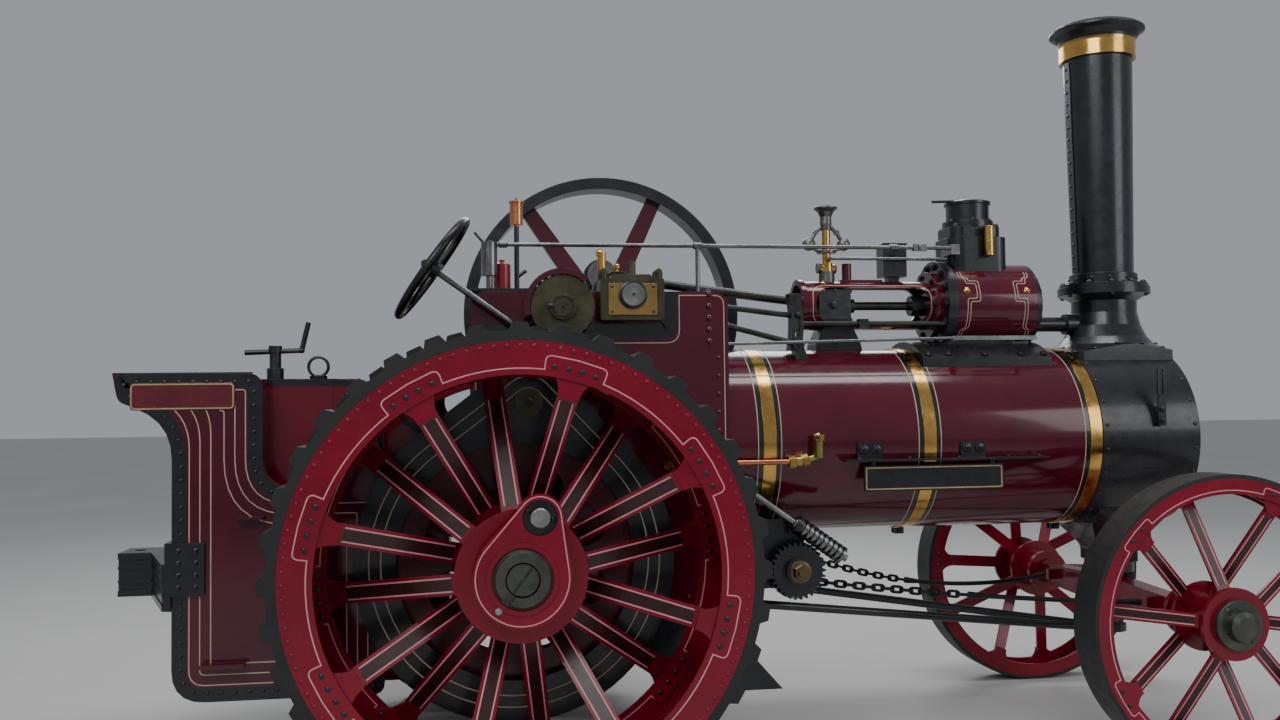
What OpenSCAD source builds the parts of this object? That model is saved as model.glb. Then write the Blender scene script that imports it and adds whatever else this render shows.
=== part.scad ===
// Single-cylinder steam traction engine.
// X runs forward, Y to the engine's left, Z up; the origin is on the ground at the middle of the length.

/* [Engine] */
// Distance between the rear and the front axle
wheelbase = 2807; // [2700:1:2900]
// Height of the boiler's axis
boiler_z = 1318; // [1300:1:1340]
// Radius of the boiler over its lagging
boiler_r = 406; // [395:1:415]
// Height of the crankshaft and the cylinder's axis
motion_z = 1925; // [1910:1:1945]
// Distance of the crankshaft in front of the rear axle
crank_x = 475; // [460:1:490]

/* [Rear wheels] */
// Radius of the steel rim
rear_rim_r = 826; // [815:1:835]
// Thickness of the rubber band round the rim
rear_band = 36; // [30:1:42]
// Inner face of the rim, from the centre line
rear_in = 663; // [660:1:680]
// Width of the rim
rear_w = 407; // [380:1:430]
// Height of a lug above the rubber band
lug_h = 28; // [20:1:36]
// Number of lugs in a row
lugs = 36; // [32:1:40]
// Number of spokes of a rear wheel, half of them to each hub flange
rear_spokes = 16; // [12:2:20]

/* [Front wheels] */
// Radius over the tyre
front_r = 590; // [575:1:600]
// Inner face of the rim, from the centre line
front_in = 737; // [720:1:760]
// Width of the rim
front_w = 163; // [140:1:180]
// Thickness of the tyre band
front_band = 16; // [10:1:22]
// Number of spokes of a front wheel
front_spokes = 10; // [8:2:12]

/* [Axles] */
// Radius of the rear axle
rear_axle_r = 55; // [48:1:60]
// Radius of the front axle's journals
front_axle_r = 42; // [36:1:48]
// Radius of the king pin
king_r = 40; // [32:1:46]
// Clearance of a running fit, on the radius
running_gap = 0.05; // [0.02:0.01:0.1]
// Gap between pieces that are bolted or riveted face to face
seat_gap = 0.3; // [0.2:0.1:0.5]

/* [Flywheel] */
// Radius of the flywheel
fly_r = 672; // [650:1:680]
// Inner face of its rim, from the centre line
fly_in = 493; // [480:1:500]
// Width of the rim
fly_w = 150; // [120:1:155]
// Depth of the rim
fly_rim = 55; // [45:1:65]
// Radius of the crankshaft
crank_r = 46; // [40:1:52]
// Throw of the crank
throw = 150; // [130:1:160]
// Angle of the crank above the front horizontal
crank_angle = 118; // [100:1:130]

/* [Boiler] */
// Front face of the hornplates and the firebox
fire_x1 = 890; // [870:1:900]
// Rear face of the firebox
fire_x0 = 92; // [88:1:110]
// Underside of the firebox
fire_z0 = 640; // [600:1:680]
// Start of the smokebox
smoke_x0 = 2560; // [2540:1:2580]
// Front of the smokebox
smoke_x1 = 3019; // [3000:1:3040]
// Thickness of the smokebox shell
smoke_t = 14; // [10:1:18]
// Radius of the smokebox door
door_r = 330; // [300:1:345]
// Width of the brass bands
band_w = 55; // [40:1:70]
// Thickness of the hornplates
horn_t = 14; // [10:1:18]
// Top of the hornplates
horn_z1 = 1950; // [1935:1:1965]

/* [Chimney] */
// Distance of the chimney in front of the rear axle
stack_x = 2815; // [2790:1:2830]
// Flange at the foot of the chimney
stack_z0 = 2010; // [1990:1:2030]
// Foot of the brass cap
stack_z1 = 3098; // [3050:1:3120]
// Outer radius at the foot
stack_r0 = 137; // [130:1:145]
// Outer radius under the cap
stack_r1 = 156; // [150:1:165]
// Radius of the cap's lip
cap_r = 216; // [205:1:225]
// Radius of the cap's mouth
mouth_r = 146; // [135:1:150]

/* [Cylinder] */
// Rear end of the cylinder block
cyl_x0 = 1955; // [1940:1:1970]
// Front end of the cylinder block
cyl_x1 = 2420; // [2405:1:2440]
// Middle of the steam dome and the safety valves
dome_x = 2140; // [2130:1:2150]
// Radius over the cylinder's lagging
cyl_r = 192; // [180:1:200]
// Rear end of the trunk guide
guide_x0 = 1305; // [1280:1:1330]
// Radius of the trunk guide
guide_r = 112; // [105:1:118]

/* [Tender] */
// Half width of the tender
tender_y = 600; // [560:1:620]
// Half width of the manstand
stand_y = 470; // [440:1:476]
// Rear face of the tank
tender_x0 = -1270; // [-1300:1:-1240]
// Underside of the tank
tender_z0 = 405; // [380:1:430]
// Top of the tender's plates
tender_z1 = 1622; // [1600:1:1640]
// Front edge of the bunker's sides
dip_x0 = -945; // [-960:1:-930]
// Lowest point of the dip in the side plates
dip_z = 1190; // [1170:1:1210]
// Floor of the manstand
floor_z = 1000; // [980:1:1020]
// Thickness of the plates
plate_t = 12; // [8:1:16]

/* [Hidden] */
$fn = 64;

maroon = [0.23, 0.03, 0.06];
crimson = [0.55, 0.02, 0.04];
black = [0.05, 0.05, 0.06];
steel = [0.62, 0.63, 0.64];
brass = [0.75, 0.58, 0.25];
rubber = [0.20, 0.21, 0.20];
copper = [0.72, 0.40, 0.25];

// Drawbar's reach behind the rear axle and the front wheels' reach set the middle of the length
drawbar_reach = 1600;
rear_r = rear_rim_r + rear_band + lug_h;
rear_x = -(wheelbase + front_r - drawbar_reach) / 2;
rear_out = rear_in + rear_w;
front_out = front_in + front_w;
horn_in = boiler_r + seat_gap;
horn_out = horn_in + horn_t;

// Everything below is placed from the rear axle
module from_axle() { translate([rear_x, 0, 0]) children(); }

// A drawing in the X-Z plane, carried across from y0 to y1
module across(y0, y1) { translate([0, y1, 0]) rotate([90, 0, 0]) linear_extrude(y1 - y0) children(); }

// A drawing in the Y-Z plane, carried forward from x0 to x1
module along(x0, x1) { translate([x0, 0, 0]) rotate([90, 0, 90]) linear_extrude(x1 - x0) children(); }

// Round bar along Y
module bar_y(x, z, y0, y1, r) { translate([x, y0, z]) rotate([-90, 0, 0]) cylinder(h = y1 - y0, r = r); }

// Round bar along X
module bar_x(y, z, x0, x1, r) { translate([x0, y, z]) rotate([0, 90, 0]) cylinder(h = x1 - x0, r = r); }

// Round bar from one point to another
module rod(a, b, r) {
    v = b - a;
    translate(a) rotate([0, acos(v.z / norm(v)), atan2(v.y, v.x)]) cylinder(h = norm(v), r = r);
}

// Rectangle from corner a to corner b with round corners
module round_rect(a, b, r) {
    translate([a.x + r, a.y]) square([b.x - a.x - 2 * r, b.y - a.y]);
    translate([a.x, a.y + r]) square([b.x - a.x, b.y - a.y - 2 * r]);
    for (x = [a.x + r, b.x - r], y = [a.y + r, b.y - r]) translate([x, y]) circle(r);
}

// Corner p = [x, y, radius] between a and b, as points on its arc
function unit(v) = v / norm(v);
function corner(a, p, b, n) = p[2] == 0 ? [[p[0], p[1]]] :
    let (q = [p[0], p[1]], u = unit([a[0], a[1]] - q), v = unit([b[0], b[1]] - q), half = acos(u * v) / 2,
        c = q + unit(u + v) * p[2] / sin(half), s = q + u * p[2] / tan(half) - c,
            e = q + v * p[2] / tan(half) - c,
        a0 = atan2(s[1], s[0]), turn = atan2(s[0] * e[1] - s[1] * e[0], s * e))
    [for (k = [0 : n]) c + p[2] * [cos(a0 + turn * k / n), sin(a0 + turn * k / n)]];

// Closed outline through corners [x, y, radius]
function rounded(p, n = 8) =
    [for (i = [0 : len(p) - 1]) each corner(p[(i + len(p) - 1) % len(p)], p[i], p[(i + 1) % len(p)], n)];

// A wheel drawn with its axis along Z, outer face up, set on the engine's right or left
module wheel_at(x, z, side) {
    translate([x, 0, z])
        if (side < 0) rotate([90, 0, 0]) children();
        else mirror([0, 1, 0]) rotate([90, 0, 0]) children();
}

// Flat ring between two heights
module ring(r0, r1, z0, z1) {
    translate([0, 0, z0]) difference() {
        cylinder(h = z1 - z0, r = r1, $fn = 128);
        translate([0, 0, -1]) cylinder(h = z1 - z0 + 2, r = r0, $fn = 128);
    }
}

// Slanted flat spoke from (r0, z0) to (r1, z1), half width w, thickness t
module spoke(r0, z0, r1, z1, w, t) {
    slope = atan2(z1 - z0, r1 - r0);
    translate([r0, 0, z0]) rotate([0, -slope, 0])
        translate([0, -w, -t / 2]) cube([norm([r1 - r0, z1 - z0]), 2 * w, t]);
}

// Flat foot that spreads a spoke where it is riveted to a ring: bar half width w, spread half angle a
module foot(r0, r1, w, a, z0, z1) {
    spread = r1 * sin(a);
    translate([0, 0, z0]) linear_extrude(z1 - z0) difference() {
        intersection() {
            circle(r1, $fn = 128);
            translate([r0, -spread]) square([r1 - r0, 2 * spread]);
        }
        for (s = [-1, 1]) translate([r0, s * (w + spread)]) scale([(r1 - r0) * 0.75 / spread, 1])
            circle(spread);
    }
}

// Rear wheel: rim, two flat rings, crossed flat spokes, and a hub with two flanges
rim_t = 14;
ring_t = 12;
ring_in = rear_rim_r - 120;
hub_out = rear_out + 20;
cap_r0 = 103;
plate_r0 = 171;
pin_r = 34;
pin_turn = 73.5;
pin_reach = 218;
module rear_wheel(side) {
    near_z = rear_out - ring_t;
    far_z = rear_in + ring_t;
    hub_r = 118;
    plate_r = 165;
    flange_r = 235;
    flange_near = hub_out - 90;
    flange_far = rear_in + 70;
    bar_w = 38;
    bar_t = 14;
    bar_end = ring_in - 6;
    step = 720 / rear_spokes;
    first = 75;
    color(crimson) wheel_at(0, rear_r, side) {
        ring(rear_rim_r - rim_t, rear_rim_r, rear_in, rear_out);
        ring(ring_in, rear_rim_r - rim_t / 2, near_z, rear_out);
        ring(ring_in, rear_rim_r - rim_t / 2, rear_in, far_z);
        difference() {
            union() {
                translate([0, 0, rear_in - 20]) cylinder(h = hub_out - rear_in + 20, r = hub_r);
                for (z = [flange_near, flange_far]) translate([0, 0, z]) cylinder(h = bar_t, r = flange_r);
                translate([0, 0, hub_out - 26]) linear_extrude(26) driving_plate();
                translate([0, 0, flange_near]) cylinder(h = hub_out - flange_near, r = plate_r);
                // Boss behind the driving pin, and the lip round the cap
                rotate([0, 0, pin_turn]) translate([pin_reach, 0, flange_near])
                    cylinder(h = hub_out - flange_near - 1, r = pin_r + 36);
                translate([0, 0, hub_out - 1]) cylinder(h = 9, r = cap_r0 + 22);
                for (k = [0 : rear_spokes / 2 - 1]) {
                    rotate([0, 0, first + k * step])
                        spoke(140, flange_far + bar_t, bar_end, near_z - bar_t / 2, bar_w, bar_t);
                    rotate([0, 0, first + (k + 0.5) * step])
                        spoke(140, flange_near, bar_end, far_z + bar_t / 2, bar_w, bar_t);
                }
            }
            translate([0, 0, rear_in - 40]) cylinder(h = rear_w + 120, r = rear_axle_r + running_gap);
            translate([0, 0, hub_out]) cylinder(h = 20, r = cap_r0 + 5);
            // Recess round the driving pin
            rotate([0, 0, pin_turn]) translate([pin_reach, 0, hub_out - 14]) difference() {
                cylinder(h = 40, r = pin_r + 28);
                translate([0, 0, -1]) cylinder(h = 42, r = pin_r);
            }
            rotate([0, 0, pin_turn]) translate([pin_reach, 0, hub_out + 12]) cylinder(h = 40, r = pin_r + 10);
        }
        rotate([0, 0, pin_turn]) translate([pin_reach, 0, hub_out - 30]) cylinder(h = 42, r = pin_r);
        for (k = [0 : rear_spokes / 2 - 1]) {
            rotate([0, 0, first + k * step])
                foot(ring_in - 66, ring_in + 69, bar_w, 8.5, near_z - ring_t, near_z + 1);
            rotate([0, 0, first + (k + 0.5) * step])
                foot(ring_in - 66, ring_in + 69, bar_w, 8.5, far_z - 1, far_z + ring_t);
        }
    }
}

// Plate on the hub's end: a round part, and a lobe that holds the driving pin
module driving_plate() {
    lobe_r = 82;
    circle(plate_r0);
    rotate(pin_turn) {
        translate([pin_reach, 0]) circle(lobe_r);
        polygon([[60, 6 - plate_r0], [pin_reach, -lobe_r], [pin_reach, lobe_r], [60, plate_r0 - 6]]);
    }
}

// Rubber tyre of a rear wheel: a band with two staggered rows of lugs
module rear_tyre(side) {
    band_r = rear_rim_r + rear_band;
    tip = 26;
    root = 42;
    overlap = 6;
    color(rubber) wheel_at(0, rear_r, side) {
        ring(rear_rim_r + seat_gap, band_r, rear_in, rear_out);
        for (k = [0 : lugs - 1], row = [0, 1])
            rotate([0, 0, (k + row / 2) * 360 / lugs + 90])
                translate([0, 0, row == 0 ? rear_in + rear_w / 2 - 14 : rear_in])
                    linear_extrude(rear_w / 2 + 14)
                        polygon([[band_r - overlap, -root], [rear_r, -tip], [rear_r, tip],
                            [band_r - overlap, root]]);
    }
}

// Cap on the hub's end, cut open for the cotter that holds the wheel on its axle
module rear_hubcap(side) {
    z0 = hub_out + seat_gap;
    color(steel) wheel_at(0, rear_r, side) difference() {
        union() {
            translate([0, 0, z0]) cylinder(h = 14, r = cap_r0);
            translate([0, 0, z0 + 14]) cylinder(h = 16, r1 = cap_r0, r2 = cap_r0 - 10);
        }
        translate([0, 0, z0 - 1]) cylinder(h = 40, r = rear_axle_r + 6);
        rotate([0, 0, 232]) translate([rear_axle_r, -15, z0 + 16]) cube([cap_r0, 30, 20]);
    }
}

// Front wheel
front_hub_out = front_out + 14;
module front_wheel(side) {
    rim_r = front_r - front_band - seat_gap;
    rim = 12;
    plate = 10;
    ring_r = rim_r - 62;
    near_z = front_out - plate;
    far_z = front_in + plate;
    flange_r = 143;
    flange_near = front_hub_out - 18;
    flange_far = front_in - 30;
    bar_w = 28;
    bar_t = 12;
    step = 720 / front_spokes;
    color(crimson) wheel_at(wheelbase, front_r, side) {
        ring(rim_r - rim, rim_r, front_in, front_out);
        ring(ring_r, rim_r - rim / 2, near_z, front_out);
        ring(ring_r, rim_r - rim / 2, front_in, far_z);
        difference() {
            union() {
                translate([0, 0, front_in - 140]) cylinder(h = front_hub_out - front_in + 140, r = 92);
                translate([0, 0, front_in - 150]) cylinder(h = 24, r = 104);
                translate([0, 0, flange_near]) cylinder(h = front_hub_out - flange_near, r = flange_r);
                translate([0, 0, flange_far]) cylinder(h = 14, r = flange_r);
                for (k = [0 : front_spokes / 2 - 1]) {
                    rotate([0, 0, 66 + k * step])
                        spoke(88, flange_far + 14, ring_r, near_z - bar_t / 2, bar_w, bar_t);
                    rotate([0, 0, 66 + (k + 0.5) * step])
                        spoke(88, flange_near, ring_r, far_z + bar_t / 2, bar_w, bar_t);
                }
            }
            translate([0, 0, front_in - 160]) cylinder(h = front_w + 200, r = front_axle_r + running_gap);
        }
        for (k = [0 : front_spokes / 2 - 1]) {
            rotate([0, 0, 66 + k * step]) foot(ring_r - 50, rim_r - 20, bar_w, 13, near_z - plate,
                near_z + 1);
            rotate([0, 0, 66 + (k + 0.5) * step]) foot(ring_r - 50, rim_r - 20, bar_w, 13, far_z - 1,
                far_z + plate);
        }
    }
}

module front_tyre(side) {
    color(rubber) wheel_at(wheelbase, front_r, side) ring(front_r - front_band, front_r, front_in, front_out);
}

module front_hubcap(side) {
    z0 = front_hub_out + seat_gap;
    color(steel) wheel_at(wheelbase, front_r, side) translate([0, 0, z0]) {
        cylinder(h = 26, r = 97);
        translate([0, 0, 26]) cylinder(h = 30, r1 = 66, r2 = 58);
        translate([0, 0, 56]) cylinder(h = 12, r1 = 58, r2 = 40);
    }
}

// Flywheel with six tapered spokes
module flywheel_body() {
    spoke_t = 44;
    mid = fly_in + fly_w / 2;
    color(maroon) translate([crank_x, 0, motion_z]) mirror([0, 1, 0]) rotate([90, 0, 0]) {
        ring(fly_r - fly_rim, fly_r, fly_in, fly_in + fly_w);
        difference() {
            union() {
                translate([0, 0, fly_in]) cylinder(h = fly_w, r = 112);
                for (k = [0 : 5]) rotate([0, 0, 65 + 60 * k]) translate([0, 0, mid - spoke_t / 2])
                    linear_extrude(spoke_t)
                        polygon([[90, -48], [fly_r - fly_rim + 8, -36], [fly_r - fly_rim + 8, 36], [90, 48]]);
            }
            translate([0, 0, fly_in - 1]) cylinder(h = fly_w + 2, r = crank_r + running_gap);
        }
    }
}

// Boiler
module barrel_body() { color(maroon) bar_x(0, boiler_z, fire_x1, smoke_x0 - seat_gap, boiler_r); }

module bands_body() {
    color(brass) for (x = [1065, 1767, smoke_x0 - 32])
        translate([x - band_w / 2, 0, boiler_z]) rotate([0, 90, 0])
            ring(boiler_r + seat_gap / 2, boiler_r + 4, 0, band_w);
}

module smokebox_body() {
    r = boiler_r + 5;
    color(black) difference() {
        union() {
            translate([smoke_x0, 0, boiler_z]) rotate([0, 90, 0])
                ring(r - smoke_t, r, 0, smoke_x1 - smoke_x0);
            translate([smoke_x1 - smoke_t, 0, boiler_z]) rotate([0, 90, 0])
                ring(door_r - 40, r - 4, 0, smoke_t);
            translate([smoke_x0, 0, boiler_z]) rotate([0, 90, 0]) cylinder(h = smoke_t, r = r - 4);
            // Lugs that hold the door's hinge pin
            for (z = [-130, 130]) translate([smoke_x1 - 2, door_r + 4, boiler_z + z - 15]) cube([40, 38, 30]);
        }
        bar_z(stack_x, 0, boiler_z, boiler_z + r + 5, stack_r0 - 17);
        bar_z(smoke_x1 + 20, door_r + 22, boiler_z - 200, boiler_z + 200, 10 + running_gap);
    }
}

module bar_z(x, y, z0, z1, r) { translate([x, y, z0]) cylinder(h = z1 - z0, r = r); }

// Dished door with two strap hinges on one pin
module smokebox_door_body() {
    x = smoke_x1 + seat_gap;
    color(black) {
        translate([x, 0, boiler_z]) rotate([0, 90, 0]) rotate_extrude($fn = 96)
            polygon([[0, 0], [door_r, 0], [door_r, 12], [door_r - 30, 14], [220, 44], [120, 62], [0, 68]]);
        for (z = [-88, 88]) {
            translate([smoke_x1 + 14, 60, boiler_z + z - 17]) cube([16, door_r - 38, 34]);
            bar_z(smoke_x1 + 20, door_r + 22, boiler_z + z - 17, boiler_z + z + 17, 17);
        }
        bar_z(smoke_x1 + 20, door_r + 22, boiler_z - 150, boiler_z + 150, 10);
        bar_x(0, boiler_z, smoke_x1 + 60, smoke_x1 + 100, 22);
        rod([smoke_x1 + 92, 0, boiler_z], [smoke_x1 + 92, -120, boiler_z - 60], 9);
    }
}

fire_wall = 60;
hole_z = 1250;
module firebox_body() {
    color(black) difference() {
        union() {
            bar_x(0, boiler_z, fire_x0, fire_x1 - seat_gap, boiler_r);
            translate([fire_x0, -boiler_r, fire_z0]) cube([fire_x1 - fire_x0 - seat_gap, 2 * boiler_r,
                boiler_z - fire_z0]);
        }
        translate([fire_x0 + fire_wall, -boiler_r + fire_wall, fire_z0 - 1])
            cube([fire_x1 - fire_x0 - 2 * fire_wall, 2 * (boiler_r - fire_wall), boiler_z + 150 - fire_z0]);
        along(fire_x0 - 1, fire_x0 + fire_wall + 1) round_rect([-150, hole_z - 100], [150, hole_z + 100], 90);
    }
}

module firehole_door_body() {
    x = fire_x0 - seat_gap;
    color(black) {
        along(x - 14, x) round_rect([-180, hole_z - 130], [180, hole_z + 130], 110);
        translate([x - 26, 60, hole_z - 15]) cube([12, 140, 30]);
        bar_z(x - 20, 205, hole_z - 30, hole_z + 30, 14);
        bar_y(x - 40, hole_z, -130, -20, 8);
        for (y = [-125, -25]) bar_x(y, hole_z, x - 40, x - 13, 8);
    }
}

module ashpan_body() {
    z1 = fire_z0 - seat_gap;
    wall = 5;
    y = 360;
    nose_x = fire_x1 + 225;
    brow_x = fire_x1 + 97;
    color(black) {
        across(-y, y) polygon([[fire_x0 + 20, z1], [fire_x1 - 20, z1], [fire_x1 - 20, z1 - 80],
            [fire_x1 - 130, z1 - 210],
            [fire_x0 + 130, z1 - 210], [fire_x0 + 20, z1 - 80]]);
        // Hood over the front damper: two cheeks and a sloping top
        for (s = [-1, 1]) across(s < 0 ? -y : y - wall, s < 0 ? wall - y : y)
            polygon([[fire_x1 - 140, z1 - 205], [brow_x, z1 - 205], [nose_x, z1 - 350],
                [fire_x1 - 140, z1 - 350]]);
        across(-y, y) polygon([[fire_x1 - 140, z1 - 205], [brow_x, z1 - 205], [nose_x, z1 - 350],
            [nose_x - 8, z1 - 350], [brow_x - 2, z1 - 210], [fire_x1 - 140, z1 - 210]]);
    }
}

module hornplate(side) {
    y0 = side < 0 ? -horn_out : horn_in;
    y1 = side < 0 ? -horn_in : horn_out;
    color(maroon) difference() {
        across(y0, y1) difference() {
            union() {
                round_rect([-170, 1300], [fire_x1, horn_z1], 60);
                polygon([[-150, 740], [-110, 700], [200, fire_z0], [fire_x1, fire_z0], [fire_x1, 1400],
                    [-170, 1400],
                    [-170, 1200]]);
            }
            translate([345, motion_z - 105]) square([260, 300]);
        }
        bar_y(0, rear_r, y0 - 1, y1 + 1, rear_axle_r + seat_gap);
        for (p = [third_shaft, second_shaft]) bar_y(p[0], p[1], y0 - 1, y1 + 1, shaft_r + seat_gap);
    }
}

// Chimney
module chimney_base_body() {
    neck = 146;
    shell_r = boiler_r + 5 + seat_gap;
    color(black) translate([stack_x, 0, 0]) difference() {
        intersection() {
            rotate_extrude($fn = 96) polygon([
                [0, 1600], [330, 1600], [330, 1700], [268, 1716], [215, 1740], [185, 1775], [160, 1830],
                    [neck, 1890],
                [neck, 1945], [170, 1962], [207, 1975], [207, stack_z0], [0, stack_z0]]);
            translate([-320, -230, 1500]) cube([520, 460, 600]);
        }
        translate([-500, 0, boiler_z]) rotate([0, 90, 0]) cylinder(h = 1000, r = shell_r, $fn = 128);
        translate([0, 0, 1500]) cylinder(h = 600, r = stack_r0 - 17);
    }
    color(black) difference() {
        bar_x(0, exhaust_z, stack_x - 205, stack_x - 125, 48);
        bar_z(stack_x, 0, 1500, 2100, stack_r0 - 17);
    }
}

module chimney_stack_body() {
    wall = 8;
    z0 = stack_z0 + seat_gap;
    color(black) translate([stack_x, 0, 0]) rotate_extrude($fn = 96) polygon([
        [stack_r0 - wall, z0], [stack_r0 + 62, z0], [stack_r0 + 62, z0 + 14], [stack_r0 + 16, z0 + 18],
        [stack_r0 + 16, z0 + 62], [stack_r0, z0 + 66], [stack_r1, stack_z1], [stack_r1 - wall, stack_z1]]);
}

module chimney_cap_body() {
    z = stack_z1 + seat_gap;
    top = z + 165;
    color(brass) translate([stack_x, 0, 0]) rotate_extrude($fn = 96) polygon([
        [mouth_r, z], [172, z], [172, z + 70], [178, z + 96], [196, z + 120], [cap_r, z + 134],
            [cap_r, z + 142],
        [200, z + 154], [176, top], [mouth_r, top]]);
}

lag_x0 = cyl_x0 + 45;
lag_x1 = cyl_x1 - 36;
dome_y = 120;
web_y = 118;
dome_z1 = motion_z + 360;
gland_r = 46;
rod_r = 20;
// The cylinder with its saddle, rear flange, front cover, steam dome and the gland of the piston rod
module cylinder_block_body() {
    saddle_y = 255;
    foot_x0 = cyl_x0 - 150;
    foot_x1 = cyl_x1 - 10;
    color(black) difference() {
        union() {
            intersection() {
                translate([foot_x0, 0, boiler_z]) rotate([0, 90, 0])
                    ring(boiler_r - 10, boiler_r + 34, 0, foot_x1 - foot_x0);
                translate([foot_x0 - 10, -saddle_y, boiler_z])
                    cube([foot_x1 - foot_x0 + 20, 2 * saddle_y, 600]);
            }
            across(-web_y, web_y) polygon(rounded([[foot_x0 + 60, boiler_z + 320, 0],
                [foot_x1 - 40, boiler_z + 320, 0],
                [foot_x1 - 40, motion_z - 120, 30], [lag_x1, motion_z, 0], [cyl_x0 + 20, motion_z, 0],
                [cyl_x0 + 20, motion_z - 170, 30], [foot_x0 + 60, boiler_z + 400, 30]]));
            bar_x(0, motion_z, cyl_x0, lag_x0, cyl_r + 14);
            bar_x(0, motion_z, lag_x1, cyl_x1 - 22, cyl_r);
            bar_x(0, motion_z, cyl_x0, cyl_x1, cyl_r - 26);
            bar_x(0, motion_z, cyl_x0 - 110, cyl_x0 + 1, gland_r);
            translate([dome_x, 0, motion_z]) linear_extrude(dome_z1 - 50 - motion_z)
                round_rect([-130, -dome_y], [150, dome_y], 60);
            translate([dome_x, 0, dome_z1 - 51]) linear_extrude(51)
                round_rect([-118, 10 - dome_y], [122, dome_y - 10], 50);
            bar_z(dome_x, 0, dome_z1 - 1, dome_z1 + 30, 116);
        }
        translate([foot_x0 - 100, 0, boiler_z]) rotate([0, 90, 0])
            cylinder(h = 1000, r = boiler_r + seat_gap, $fn = 128);
        bar_x(0, motion_z, cyl_x0 - 120, cyl_x0 - 1, rod_r + seat_gap);
    }
}

module cylinder_lagging_body() {
    color(maroon) difference() {
        bar_x(0, motion_z, lag_x0 + seat_gap, lag_x1 - seat_gap, cyl_r);
        bar_x(0, motion_z, cyl_x0, cyl_x1, cyl_r - 26 + seat_gap);
        translate([dome_x, 0, motion_z]) linear_extrude(400)
            round_rect([-130 - seat_gap, -dome_y - seat_gap], [150 + seat_gap, dome_y + seat_gap],
                60 + seat_gap);
        translate([cyl_x0, -web_y - seat_gap, motion_z - 400]) cube([600, 2 * (web_y + seat_gap), 400]);
    }
}

// Drum over the safety valves with its lid and easing lever, and the spring balance beside it
module safety_valve_body() {
    z = dome_z1 + 30 + seat_gap;
    drum_r = 98;
    color(black) {
        translate([dome_x, 0, z]) rotate_extrude()
            polygon([[0, 0], [drum_r, 0], [drum_r, 80], [drum_r + 8, 80], [drum_r + 8, 92],
                [drum_r - 8, 97], [45, 107], [0, 110]]);
        rod([dome_x - 20, -30, z + 98], [dome_x - 185, -30, z + 92], 7);
    }
    color(brass) {
        bar_z(dome_x + 36, -dome_y - 26, dome_z1 - 140, dome_z1 - 6, 22);
        bar_y(dome_x + 36, dome_z1 - 60, -dome_y - 26, -dome_y - seat_gap, 9);
    }
}

module trunk_guide_body() {
    x1 = cyl_x0 - seat_gap;
    stub_x = 1547;
    color(maroon) difference() {
        union() {
            bar_x(0, motion_z, guide_x0, x1, guide_r);
            bar_x(0, motion_z, guide_x0, guide_x0 + 22, guide_r + 8);
            bar_x(0, motion_z, x1 - 34, x1, guide_r + 45);
            // Boss that carries the governor's drive, and the pad under it
            bar_z(stub_x, 0, motion_z + guide_r - 12, motion_z + guide_r + 82, 22);
            translate([stub_x - 40, -30, motion_z + guide_r - 20]) cube([200, 60, 26]);
        }
        bar_x(0, motion_z, guide_x0 - 1, x1 - 40, guide_r - 18);
        bar_x(0, motion_z, x1 - 60, x1 + 1, gland_r + seat_gap);
        across(-200, 200) round_rect([guide_x0 + 62, motion_z - 80], [x1 - 40, motion_z + 80], 78);
    }
}

// Cast foot that carries the guide on the boiler
module guide_bracket_body() {
    color(black) difference() {
        across(-70, 70) polygon(rounded([[pin_x - 95, boiler_z + 350, 0], [pin_x + 135, boiler_z + 350, 0],
            [pin_x + 120, boiler_z + boiler_r + 22, 8], [pin_x + 66, motion_z - 60, 60],
                [pin_x + 66, motion_z, 0],
            [pin_x - 34, motion_z, 0], [pin_x - 34, motion_z - 60, 60],
                [pin_x - 90, boiler_z + boiler_r + 22, 8]]));
        bar_x(0, motion_z, guide_x0 - 50, guide_x0 + 600, guide_r + seat_gap);
        translate([guide_x0 - 200, 0, boiler_z]) rotate([0, 90, 0])
            cylinder(h = 700, r = boiler_r + seat_gap, $fn = 128);
    }
}

pin_x = 1465;
crank_pin = [crank_x + throw * cos(crank_angle), 0, motion_z + throw * sin(crank_angle)];
module crosshead_body() {
    color(steel) {
        difference() {
            union() {
                across(-60, 60) round_rect([pin_x - 70, motion_z - 66], [pin_x + 80, motion_z + 66], 14);
                // Slippers above and below
                for (z = [-1, 1]) translate([pin_x - 80, -50, motion_z + z * 66 - 8]) cube([170, 100, 16]);
                bar_z(pin_x + 10, -40, motion_z + 60, motion_z + 84, 12);
            }
            translate([pin_x - 90, -28, motion_z - 50]) cube([90 + 48, 56, 100]);
            // The slippers run in the round bore of the guide
            difference() {
                bar_x(0, motion_z, pin_x - 100, pin_x + 100, 140);
                bar_x(0, motion_z, pin_x - 101, pin_x + 101, guide_r - 18 - seat_gap);
            }
        }
        bar_y(pin_x, motion_z, -66, 66, rod_r);
        bar_x(0, motion_z, pin_x + 79, cyl_x0 - 1.5, rod_r);
        bar_x(0, motion_z, pin_x + 79, pin_x + 110, 32);
    }
}

module connecting_rod_body() {
    v = [pin_x, 0, motion_z] - crank_pin;
    a = atan2(v.z, v.x);
    color(steel) difference() {
        union() {
            bar_y(pin_x, motion_z, -25, 25, 42);
            bar_y(crank_pin.x, crank_pin.z, -38, 38, 72);
            rod(crank_pin, [pin_x, 0, motion_z], 20);
        }
        bar_y(pin_x, motion_z, -30, 30, 20 + seat_gap);
        bar_y(crank_pin.x, crank_pin.z, -50, 50, 42 + seat_gap);
    }
}

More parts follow.
